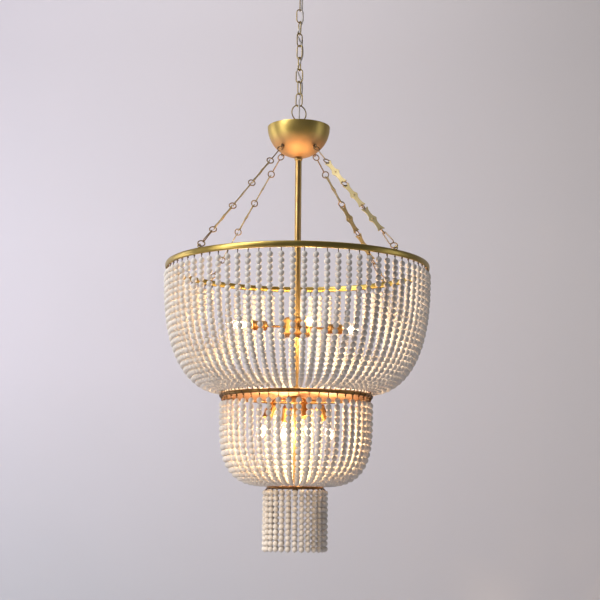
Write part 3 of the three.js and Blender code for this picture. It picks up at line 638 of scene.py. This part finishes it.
def make_bowl():
    """The spun shell with its rounded lip, and four wire eyes on near-black seats of painted shade."""
    inner = BOWL_RADIUS - SHEET
    start, end, steps = math.asin(BOWL_BORE / BOWL_RADIUS), math.pi / 2 - 0.02, 28
    outer_arc = [(BOWL_RADIUS * math.sin(a), RIM - BOWL_RADIUS * math.cos(a))
                 for a in (start + (end - start) * k / steps for k in range(steps + 1))]
    inner_arc = [(inner * math.sin(a), RIM - inner * math.cos(a))
                 for a in (end - (end - start) * k / steps for k in range(steps + 1))]
    side, corner, drop = RIM - 0.7, 0.3, RIM - 0.15
    lip = [(BOWL_RADIUS, side), (BOWL_RADIUS - corner, drop), (BOWL_RADIUS - SHEET / 2, RIM),
           (inner + corner, drop), (inner, side)]
    closed_lathe([*outer_arc, *lip, *inner_arc], 128).build(
        "bowl_shell", "fixture", spun_brass, "antique_brass", ["bowl"], 50)
    eye = torus(EYE_RADIUS, EYE_WIRE, 24, 10)
    a = math.radians(EYE_ANGLE)
    seat = lathe(rounded([(0, 0.9), (2.9, 0.9), (3.4, 0.3), (3.4, -1.2), (0, -1.2)], 0.3, 3), 24)
    for at, (azimuth, *_) in enumerate(HANGERS):
        centre = bowl_eye()
        Form().put(eye, turn(azimuth) @ shift(x=centre.x, z=centre.y)).build(
            f"bowl_eye_{at + 1}", "fixture", ring_brass, "antique_brass")
        # Under each eye a near-black seat: painted shade where the eye meets the bowl.
        on = turn(azimuth) @ shift(x=BOWL_RADIUS * math.cos(a), z=RIM - BOWL_RADIUS * math.sin(a))
        Form().put(seat, on @ Matrix.Rotation(math.pi / 2 + a, 4, "Y")).build(
            f"bowl_eye_painted_shade_seat_{at + 1}", "fixture", bushing_and_painted_shade, "antique_brass")


make_bowl()


def make_stem():
    """The stem, thinner below the upper lamps, with the collar that holds it under the bowl."""
    top = BOWL_BOTTOM - SEAT_GAP
    step = UPPER_HUB - STEM_STEP
    profile = [(STEM_BORE, BOTTOM), (LOWER_STEM_RADIUS, BOTTOM), (LOWER_STEM_RADIUS, step),
               (STEM_RADIUS, step), *[(STEM_RADIUS + out, top - down) for out, down in STEM_COLLAR],
               (STEM_SEAT_RADIUS, top), (STEM_BORE, top - STEM_SEAT_DEPTH)]
    closed_lathe(profile, 64).build("stem_tube", "fixture", stem_brass, "antique_brass", ["stem"])
    # A near-black ring under the bowl: painted shade where the stem's collar meets the bowl.
    bore, rim = 5.2, 7.9
    painted_shade_ring = [(bore, 0.9), (rim - 0.5, 0.7), (rim, 0.1), (rim, -0.4), (bore, -0.4)]
    lathe(rounded([(radius, top + up) for radius, up in painted_shade_ring], 0.3, 2), 48).build(
        "stem_painted_shade_ring", "fixture", bushing_and_painted_shade, "antique_brass")


make_stem()

# Hangers

# A quarter of a hanger bar's outline, from middle to fish-tail end: shares of half its length and width
BAR_SHARES = [(0, 1.0), (0.03, 0.985), (0.07, 0.93), (0.12, 0.82), (0.17, 0.70), (0.24, 0.60), (0.33, 0.54),
              (0.44, 0.515), (0.55, 0.52), (0.66, 0.56), (0.76, 0.63), (0.85, 0.73), (0.92, 0.82),
              (0.975, 0.90), (1.0, 0.86), (0.985, 0.62), (0.965, 0.40), (0.96, 0.2), (0.958, 0)]


def bar_outline(length):
    """A shaped flat bar's outline from z = 0 down: fish-tail ends, waists and a pointed middle."""
    half = length / 2
    top = [(w * BAR_HALF_WIDTH, -half + half * s) for s, w in reversed(BAR_SHARES)]
    right = top + [(x, -length - z) for x, z in reversed(top[:-1])]
    return right + [(-x, z) for x, z in reversed(right[1:-1])]


RING_SWELL, RING_WIRE_SWELL = 0.6, 0.3
ring = torus(RING_RADIUS + RING_SWELL, RING_WIRE + RING_WIRE_SWELL, 28, 10)


def plate_form(outline, holes, thickness, edge=0.35):
    """A flat plate in the XZ plane with rounded edges, filled between its outline and its holes."""
    curve = bpy.data.curves.new("outline", "CURVE")
    curve.dimensions = "2D"
    curve.fill_mode = "BOTH"
    curve.extrude = thickness / 2 - edge
    curve.bevel_depth = edge
    curve.bevel_resolution = 1
    curve.offset = -edge
    for points in (outline, *holes):
        spline = curve.splines.new("POLY")
        spline.points.add(len(points) - 1)
        for point, (x, z) in zip(spline.points, points):
            point.co = (x, z, 0, 1)
        spline.use_cyclic_u = True
    holder = bpy.data.objects.new("outline", curve)
    scene.collection.objects.link(holder)
    mesh = bpy.data.meshes.new_from_object(holder)
    form = Form()
    form.add([v.co.copy() for v in mesh.vertices], [tuple(p.vertices) for p in mesh.polygons],
             turn(90, "X"))
    bpy.data.objects.remove(holder)
    bpy.data.curves.remove(curve)
    bpy.data.meshes.remove(mesh)
    return form


def make_hangers():
    """Four hangers: a short rod, three shaped bars with a riveted boss, rings, and a pear-shaped link."""
    start, end = bowl_eye(), hoop_eye()
    line = end - start
    lean = Matrix.Rotation(-math.atan2(line.x, -line.y), 4, "Y")
    seat = EYE_RADIUS - EYE_WIRE / 2 - RING_WIRE / 2 - HANG_GAP + RING_RADIUS
    short = (line.length - 2 * seat - 3 * BAR_PITCH) / 2
    rest = BAR_HOLE - RING_WIRE / 2 - HANG_GAP
    bar_top = RING_RADIUS + rest - BAR_LAND
    bar_length = BAR_PITCH - bar_top - RING_RADIUS + RING_WIRE
    hole = [(BAR_HOLE * math.cos(TAU * k / 20), BAR_HOLE * math.sin(TAU * k / 20) - BAR_LAND)
            for k in range(20)]
    flat = plate_form(bar_outline(bar_length), [hole], BAR_THICKNESS)
    dome = lathe(rounded([(0, 1.55), (3.0, 1.4), (3.75, 0.95), (3.75, -0.95), (3.0, -1.4), (0, -1.55)],
                         0.5, 3), 32)
    rivet = lathe([(0, 2.3), (0.8, 2.2), (1.4, 1.8), (1.6, 1.3), (1.6, -1.3), (1.4, -1.8), (0.8, -2.2),
                   (0, -2.3)], 20)
    on_side = shift(z=-bar_length / 2) @ turn(90, "X")
    pear_top = RING_RADIUS - RING_WIRE - HANG_GAP
    pear_length = short - RING_RADIUS - pear_top
    pear = tube(link_line(PEAR_TOP, PEAR_LOW, pear_length / 2, 10), RING_WIRE / 2, 10, True, (0, 1, 0))
    names = ("front_left", "front_right", "back_right", "back_left")
    for name, (azimuth, twists, turns) in zip(names, HANGERS):
        place = turn(azimuth) @ shift(x=start.x, z=start.y) @ lean
        top = place @ shift(z=-seat)
        form = Form().put(ring, top @ turn(turns[0])).put(ring, top @ shift(z=-short) @ turn(turns[1]))
        form.put(tube([(0, 0, -RING_RADIUS), (0, 0, -short + RING_RADIUS)], ROD_RADIUS, 12), top)
        form.build(f"hanger_{name}_rod", "fixture", ring_brass, "antique_brass", [f"hanger_{name}_top"])
        for at in range(3):
            here = place @ shift(z=-seat - short - at * BAR_PITCH)
            own = here @ turn(twists[at]) @ shift(z=-bar_top)
            Form().put(flat, own).put(dome, own @ on_side).build(
                f"hanger_{name}_plate_{at + 1}", "fixture", bar_brass, "antique_brass",
                [f"hanger_{name}_bar_{at + 1}"])
            Form().put(rivet, own @ on_side).build(
                f"hanger_{name}_rivet_{at + 1}", "fixture", disc_brass, "antique_brass")
            Form().put(ring, here @ shift(z=-BAR_PITCH) @ turn(turns[at + 2])).build(
                f"hanger_{name}_ring_{at + 1}", "fixture", ring_brass, "antique_brass")
        here = place @ shift(z=-seat - short - 3 * BAR_PITCH)
        form = Form().put(pear, here @ turn(twists[3]) @ shift(z=-pear_top - pear_length / 2))
        form.put(ring, here @ shift(z=-short) @ turn(turns[5]))
        form.build(f"hanger_{name}_pear", "fixture", ring_brass, "antique_brass", [f"hanger_{name}_end"])


make_hangers()

# Hoops and plates


def ring_bar(radius, width, height, steps, power=2.0):
    """A hoop lying flat whose section is a full rounded bar, squarer the higher its power."""
    profile = []
    for k in range(24):
        a = TAU * k / 24
        c, z = math.cos(a), math.sin(a)
        profile.append((radius + math.copysign(abs(c) ** (2 / power), c) * width / 2,
                        math.copysign(abs(z) ** (2 / power), z) * height / 2))
    return closed_lathe(profile, steps)


def hoop_eyes(form):
    """Adds the hangers' four eyes, each on its stud."""
    eye = torus(EYE_RADIUS, EYE_WIRE, 24, 10)
    centre = hoop_eye()
    stud = lathe(rounded([(0, 1.6), (2.6, 1.6), (3.2, 0.6), (3.2, -1), (0, -1)], 0.4, 3), 24)
    for azimuth, *_ in HANGERS:
        form.put(eye, turn(azimuth) @ shift(x=centre.x, z=centre.y - UPPER))
        form.put(stud, turn(azimuth) @ shift(x=centre.x, z=UPPER_HEIGHT / 2 - 0.4))
    return form


upper_hoop = hoop_eyes(ring_bar(UPPER_RADIUS, UPPER_WIDTH, UPPER_HEIGHT, 192, 2.3))
middle_hoop = ring_bar(MIDDLE_RADIUS, MIDDLE_WIRE, MIDDLE_WIRE, 160)
bottom_hoop = ring_bar(BOTTOM_RADIUS, BOTTOM_WIRE, BOTTOM_WIRE, 96)
for name, hoop, height, look, node in (("upper_hoop", upper_hoop, UPPER, brass, "upper_tier"),
                                       ("middle_hoop", middle_hoop, MIDDLE, middle_brass_painted_shade, "lower_tier"),
                                       ("bottom_hoop", bottom_hoop, BOTTOM, copper, "tassel")):
    Form().put(hoop, shift(z=height)).build(name, "fixture", look, "antique_brass", [node])


def make_plates():
    """The discs inside the middle and bottom hoops, and the nut with its small open hook."""
    half = PLATE_THICKNESS / 2
    for name, hoop_inside, steps, height, look, node in (
            ("middle_disc", MIDDLE_RADIUS - MIDDLE_WIRE / 2, 160, MIDDLE, disc_brass, "middle_plate"),
            ("bottom_disc", BOTTOM_RADIUS - BOTTOM_WIRE / 2, 96, BOTTOM, copper, "bottom_plate")):
        radius = hoop_inside - SEAT_GAP
        edge = radius - PLATE_CORNER
        profile = [(PLATE_BORE, -half), (edge, -half), (radius, -PLATE_CORNER), (radius, PLATE_CORNER),
                   (edge, half), (PLATE_BORE, half)]
        Form().put(closed_lathe(profile, steps), shift(z=height)).build(
            name, "fixture", look, "antique_brass", [node])
    top = BOTTOM - half - SEAT_GAP
    low = top - 9
    nut = lathe(rounded([(0, low), (3.5, low), (7, low + 3), (7, top), (0, top)], 0.6, 3), 40)
    bend, wire_radius, steps = 4, 1, 24
    line = [(0, 0, low + 2)]
    for k in range(steps + 1):
        a = math.pi / 2 - math.radians(270) * k / steps
        line.append((bend * math.cos(a), 0, low - bend + bend * math.sin(a)))
    nut.put(tube(line, wire_radius, 10, False, (0, 1, 0)))
    nut.build("finial_nut", "fixture", copper, "antique_brass", ["finial"])


make_plates()

# Strands of beads


def bead_form(sides=14, rows=8):
    """A turned bead with flat ends round its hole, of radius 1 and half height 1."""
    hole, flat, end = 0.11, 0.13, 0.93
    start = math.asin(flat)
    angles = [start + (math.pi - 2 * start) * k / rows for k in range(rows, -1, -1)]
    side = [(math.sin(a), math.cos(a) / math.cos(start)) for a in angles]
    return lathe([(hole, -end), *side, (hole, end)], sides)


BEAD = bead_form()


def tier_curve(top_radius, top, end_radius, end, powers):
    """A strand's line from hoop to hoop, a superellipse, as a function of the share of the way."""
    def at(share):
        a = share * math.pi / 2
        down = math.sin(a) ** (2 / powers[0])
        across = max(math.cos(a), 0) ** (2 / powers[1])
        return Vector((end_radius + (top_radius - end_radius) * across, 0, top + (end - top) * down))
    return at


def walk(curve, steps=400):
    """Points along a curve, with the length to each."""
    points = [curve(k / steps) for k in range(steps + 1)]
    lengths = [0]
    for a, b in zip(points, points[1:]):
        lengths.append(lengths[-1] + (b - a).length)
    return points, lengths


def on_line(points, lengths, distance):
    """The place and the direction at a distance along a line."""
    high = bisect.bisect_right(lengths, distance, 1, len(lengths) - 1)
    low = high - 1
    span = lengths[high] - lengths[low] or 1
    t = (distance - lengths[low]) / span
    return points[low].lerp(points[high], t), (points[high] - points[low]).normalized()


def make_strands(count, curve, first, last, diameters, ratio, seed, phase, top_hook, low_hook, slack):
    """All strands of a tier as one piece of beads and one of wire hooks. diameters gives a bead's size
    from its share of the way down, and ratio its length for each unit of its size."""
    points, lengths = walk(curve)
    beads, hooks = Form(), Form()
    own = random.Random(seed)
    for strand in range(count):
        angle = TAU * (strand + phase) / count
        spin = Matrix.Rotation(angle, 4, "Z")
        sway = own.uniform(-0.6, 0.6)
        length = lengths[-1] - own.uniform(0, slack)
        sizes = []
        room = length - first - last
        used = 0
        while used < room:
            d = diameters(used / room) * own.uniform(0.985, 1.015)
            sizes.append(d)
            used += d * ratio
        squeeze = room / used
        at = first
        for d in sizes:
            half = d * ratio * squeeze / 2
            centre, along = on_line(points, lengths, at + half)
            at += 2 * half
            bow = math.sin(math.pi * at / length) * sway
            bead_z = along * -1
            bead_y = Vector((0, 1, 0))
            bead_x = bead_y.cross(bead_z).normalized()
            basis = Matrix((bead_x, bead_y, bead_z)).transposed().to_4x4()
            tip = Matrix.Rotation(own.uniform(-0.05, 0.05), 4, "X") @ turn(own.uniform(0, 360))
            size = Matrix.Diagonal((d / 2 * own.uniform(0.98, 1.01),) * 2 + (half, 1))
            place = spin @ Matrix.Translation(centre + Vector((0, bow, 0))) @ basis @ tip @ size
            beads.put(BEAD, place)
        for low, high, more in ((0, first + WIRE_IN_BEAD, top_hook),
                                (length - last - WIRE_IN_BEAD, length, low_hook)):
            ends = [on_line(points, lengths, low + (high - low) * k / 3)[0] for k in range(4)]
            ends = more + ends if more is top_hook else ends + more
            hooks.put(tube(ends, HOOK_WIRE_RADIUS, 6, False, (0, 1, 0)), spin)
    return beads, hooks


def hook_round(radius, height, reach, start, sweep):
    """Points of a wire hook round a hoop's section. Angles in degrees from straight out."""
    out = []
    for k in range(9):
        a = math.radians(start + sweep * k / 8)
        out.append(Vector((radius + reach * math.cos(a), 0, height + reach * math.sin(a))))
    return out


def tier(name, count, curve, ends, diameters, ratio, seed, phase, top_hook, low_hook, slack=0):
    """Builds a tier's beads and its hooks. ends gives the bare wire above and below each strand."""
    beads, hooks = make_strands(
        count, curve, *ends, diameters, ratio, seed, phase, top_hook, low_hook, slack)
    beads.build(f"{name}_beads", "fixture", wood, "wood_beads", [], 60)
    hooks.build(f"{name}_hooks", "fixture", wire, "antique_brass", [], 60)


def bead_size(size, even_share, loss):
    """Beads of one size down to a share of the strand, then smaller towards its end."""
    return lambda share: size if share < even_share else size - loss * (share - even_share) / (1 - even_share)


upper_curve = tier_curve(UPPER_RADIUS + 0.6, UPPER - UPPER_HEIGHT / 2 + 1, MIDDLE_RADIUS,
                         MIDDLE + UPPER_BEADS_RISE, (2.66, 2.16))
tier("upper", UPPER_COUNT, upper_curve, (UPPER_HOOK, HOOK_LENGTH / 2), bead_size(14.0, 0.86, 3.0),
     ratio=1.036, seed=11, phase=UPPER_PHASE,
     top_hook=[Vector((UPPER_RADIUS, 0, UPPER - UPPER_HEIGHT / 2 + 2.5))],
     low_hook=hook_round(MIDDLE_RADIUS, MIDDLE, MIDDLE_WIRE / 2 + 0.9, 75, 60))
lower_curve = tier_curve(MIDDLE_RADIUS, MIDDLE - MIDDLE_WIRE / 2 - 0.4, BOTTOM_RADIUS,
                         BOTTOM + LOWER_BEADS_RISE, (4.3, 2.6))
tier("lower", LOWER_COUNT, lower_curve, (LOWER_HOOK, HOOK_LENGTH / 2), bead_size(13.8, 0.68, 4.2),
     ratio=1.07, seed=12, phase=LOWER_PHASE,
     top_hook=hook_round(MIDDLE_RADIUS, MIDDLE, MIDDLE_WIRE / 2 + 0.7, 20, -95),
     low_hook=hook_round(BOTTOM_RADIUS, BOTTOM, BOTTOM_WIRE / 2 + 0.8, 80, 50))


def hook_eyes(name, count, phase, radius, height, size):
    """The small wire rings, edge-on to the outside, that the strands hang on."""
    form = Form()
    for strand in range(count):
        form.put(torus(size, 1.4, 14, 6), turn(360 * (strand + phase) / count) @ shift(x=radius, z=height))
    form.build(f"{name}_hook_eyes", "fixture", wire, "antique_brass", [], 60)


hook_eyes("upper", UPPER_COUNT, UPPER_PHASE, UPPER_RADIUS, UPPER - UPPER_HEIGHT / 2 - 1.9, 1.9)
hook_eyes("lower", LOWER_COUNT, LOWER_PHASE, MIDDLE_RADIUS, MIDDLE - MIDDLE_WIRE / 2 - 2.6, 2.1)


def make_tassel():
    """Straight strands that step out from the bottom hoop's underside and hang free."""
    radius = BOTTOM_RADIUS + TASSEL_OFFSET
    bead_top = BOTTOM - BOTTOM_WIRE / 2 - TASSEL_GAP
    start = Vector((BOTTOM_RADIUS + BOTTOM_WIRE / 4, 0, BOTTOM - BOTTOM_WIRE / 4))
    knee = Vector((radius, 0, bead_top))
    end = Vector((radius, 0, bead_top - TASSEL_LENGTH + 1))
    hook, hang = (knee - start).length, (end - knee).length
    bend = hook / (hook + hang)

    def curve(share):
        if share < bend:
            return start.lerp(knee, share / bend)
        return knee.lerp(end, (share - bend) / (1 - bend))

    tier("tassel", TASSEL_COUNT, curve, (hook, 0.6), lambda share: 13.5, ratio=0.985, seed=13,
         phase=TASSEL_PHASE, top_hook=[], low_hook=[], slack=1.6)


make_tassel()

# Lamps

SOCKET_DEPTH, ARM_RADIUS = 38, 3.0
SOCKET = rounded([(0, -SOCKET_DEPTH), (9.5, -SOCKET_DEPTH), (11.2, -36.5), (12.3, -34.2), (12.3, -31.5),
                  (11.7, -31), (11.7, -3.2), (12.5, -2.6), (12.5, 0), (7.2, 0), (7.2, -30), (0, -30)], 0.5, 3)
BULB_LENGTH, BULB_RADIUS, CORE_RADIUS, CORE_HALF = 66, 16.5, 8.5, 16
# A candle bulb's outline: shares of its radius and of its length
BULB_SHARES = [(0.53, 0.02), (0.66, 0.07), (0.80, 0.14), (0.92, 0.22), (0.985, 0.31), (1.0, 0.39),
               (0.965, 0.48), (0.88, 0.58), (0.75, 0.68), (0.58, 0.77), (0.41, 0.85), (0.27, 0.915),
               (0.16, 0.96), (0.08, 0.988)]


def cap_form():
    """A bulb's screw cap, down in its socket."""
    low, root, crest, first, pitch = -18, 5.6, 6.6, -17, 2.3
    rows = [(0, low), (6.0, low)]
    for k in range(7):
        height = first + k * pitch
        rows += [(root, height), (crest, height + pitch / 2)]
    return lathe(rows + [(6.4, 0.6), (8.4, 1.2), (0, 1.2)], 32)


def lamps(name, top, arm, reach, drop, tilt, first, hub_form, glow_at, watts):
    """Four lamps round a hub at height top: arms, sockets, and lit bulbs that ride on their own bodies."""
    frame_form = Form().put(hub_form)
    seat = Matrix.Rotation(math.pi - tilt, 4, "Y")
    mouth = seat @ Vector((0, 0, SOCKET_DEPTH)) + Vector((reach, 0, -drop))
    socket = lathe(SOCKET, 40)
    glass = lathe([(0, 0.8), (8.2, 1.0), *[(r * BULB_RADIUS, z * BULB_LENGTH) for r, z in BULB_SHARES],
                   (0, BULB_LENGTH)], 48)
    core = lathe([(CORE_RADIUS * math.sin(math.pi * k / 14), -CORE_HALF * math.cos(math.pi * k / 14))
                  for k in range(15)], 24)
    cap = cap_form()
    for at in range(4):
        around = turn(math.degrees(first) + 90 * at)
        frame_form.put(tube(arm, ARM_RADIUS, 12, False, (0, 1, 0)), around)
        frame_form.put(socket, around @ Matrix.Translation(mouth) @ seat)
        body = f"{name}_bulb_{at + 1}"
        place = shift(z=top) @ around @ Matrix.Translation(mouth) @ seat
        Form().put(glass, place).build(f"{name}_glass_{at + 1}", body, clear_bulb, "bulb_glass", [body], 60)
        Form().put(core, place @ shift(z=glow_at)).build(
            f"{name}_core_{at + 1}", body, lit_core, "bulb_glass")
        Form().put(cap, place).build(f"{name}_cap_{at + 1}", body, brass, "antique_brass")
        glow = add_light(f"{name}_glow_{at + 1}", "POINT", (place @ Vector((0, 0, glow_at))) * MM, watts,
                         (1.0, 0.69, 0.39), shadow_soft_size=0.018)
        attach(glow, body)
    Form().put(frame_form, shift(z=top)).build(
        f"{name}_lamp_arms", "fixture", lamp_brass_painted_glow, "antique_brass", [f"{name}_lamp_frame"])


upper_hub = closed_lathe(rounded([(8.3, -22), (6.3, -23.5), (6.3, -47), (27, -47), (31.5, -45.5), (34, -41),
                                  (34, -6), (31.5, -1.5), (27, 0), (8.3, 0)], 1.2, 3), 64)
ARM_DROP = 23.5
lamps("upper", UPPER_HUB, [(31, 0, -ARM_DROP), (52, 0, -ARM_DROP), (79, 0, -ARM_DROP)], reach=76,
      drop=ARM_DROP, tilt=math.pi / 2, first=math.radians(15), hub_form=upper_hub, glow_at=28, watts=3.3)
lower_hub = closed_lathe(rounded([(6.3, -17), (12, -17), (15, -14), (15, -3), (12, 0), (6.3, 0)], 0.8, 3), 48)
TILT = math.radians(21.5)
arm_line = [(12, 0, -8.5), (36, 0, -8.5), (48, 0, -8.7), (53, 0, -9.6), (57, 0, -12.2), (59.3, 0, -16),
            (60 + ARM_RADIUS * math.sin(TILT), 0, -19 - ARM_RADIUS * math.cos(TILT))]
lamps("lower", LOWER_HUB, arm_line, reach=60, drop=19, tilt=TILT, first=math.radians(20), hub_form=lower_hub,
      glow_at=34, watts=1.8)

# Studio: a pale wall and floor, soft light


def wall_look():
    """Wall paint with painted light and shade: lighter and cooler at the left, darker towards the bottom and
    the top, seen only from the side that faces the object.
    """
    look = Look("wall_paint_with_painted_light").set(Roughness=0.9)
    axes = look.node("ShaderNodeSeparateXYZ")
    look.link(look.place, axes.inputs[0])
    # Painted light and shade: gradients across the wall and towards its bottom and top
    across = look.span(axes.outputs[0], -1.4, 1.4, 0, 1)
    down = look.span(axes.outputs[2], -0.8, -1.9, 0, 0.62)
    up = look.span(axes.outputs[2], -0.3, 0.5, 0, 0.6)
    paint = look.mix(across, (0.74, 0.715, 0.82), (0.69, 0.65, 0.655))
    paint = look.mix(down, paint, look.mix(across, (0.44, 0.48, 0.515), (0.66, 0.62, 0.64)))
    paint = look.mix(up, paint, look.mix(across, (0.62, 0.585, 0.655), (0.63, 0.585, 0.59)))
    look.colour(look.mix(look.span(look.noise(1.2, 2), 0.3, 0.7, 0, 0.06), paint, (0.62, 0.60, 0.62)))
    look.bump(look.noise(240, 4), 0.05, 0.001)
    mix = look.node("ShaderNodeMixShader")
    look.link(look.node("ShaderNodeNewGeometry").outputs["Backfacing"], mix.inputs[0])
    look.link(look.shader.outputs[0], mix.inputs[1])
    look.link(look.node("ShaderNodeBsdfTransparent").outputs[0], mix.inputs[2])
    look.link(mix.outputs[0], look.tree.nodes["Material Output"].inputs["Surface"])
    return look.material


def make_studio():
    """A pale wall and floor, an even world, and soft lamps. Metres."""
    material = wall_look()
    side, back, front, low, high = 6, 2.0, -6, -2.7, 3.4
    for name, corners in (
            ("wall", [(-side, back, low), (side, back, low), (side, back, high), (-side, back, high)]),
            ("floor", [(-side, front, low), (side, front, low), (side, back, low), (-side, back, low)])):
        mesh = bpy.data.meshes.new(name)
        mesh.from_pydata(corners, [], [(0, 1, 2, 3)])
        mesh.materials.append(material)
        obj = bpy.data.objects.new(name, mesh)
        scene.collection.objects.link(obj)
    world = bpy.data.worlds.new("world")
    world.use_nodes = True
    world.node_tree.nodes["Background"].inputs[0].default_value = (0.86, 0.87, 0.92, 1)
    world.node_tree.nodes["Background"].inputs[1].default_value = 0.14
    scene.world = world
    middle = Vector((0, 0, -0.9))
    for name, place, size, watts, colour in (
            ("key", (-1.9, -1.5, 2.0), (0.8, 0.8), 66, (1.0, 0.99, 0.98)),
            ("middle_key", (-2.6, -1.9, 0.7), (0.6, 0.6), 44, (1.0, 0.98, 0.96)),
            ("front_left", (-2.55, -1.4, -0.9), (0.4, 2.4), 25, (1.0, 0.97, 0.93)),
            ("low_left", (-1.5, -1.6, -2.3), (0.6, 0.6), 3, (1.0, 0.74, 0.48)),
            ("side_left", (-2.5, 0.9, -0.9), (0.3, 2.4), 20, (1.0, 0.98, 0.97)),
            ("side_right", (2.7, -0.3, -0.9), (0.5, 2.4), 9, (0.95, 0.97, 1.0)),
            ("top", (-0.2, 0.9, 1.8), (2.2, 2.2), 20, (1.0, 0.99, 0.97))):
        add_light(name, "AREA", place, watts, colour, middle, shape="RECTANGLE", size=size[0], size_y=size[1])
    add_light("tassel_light", "SPOT", (-1.1, -2.2, -0.95), 118, (1.0, 0.72, 0.41), Vector((0, 0, -1.37)),
              spot_size=math.radians(10), spot_blend=1, shadow_soft_size=0.1)


make_studio()
scene.view_settings.view_transform = "Standard"
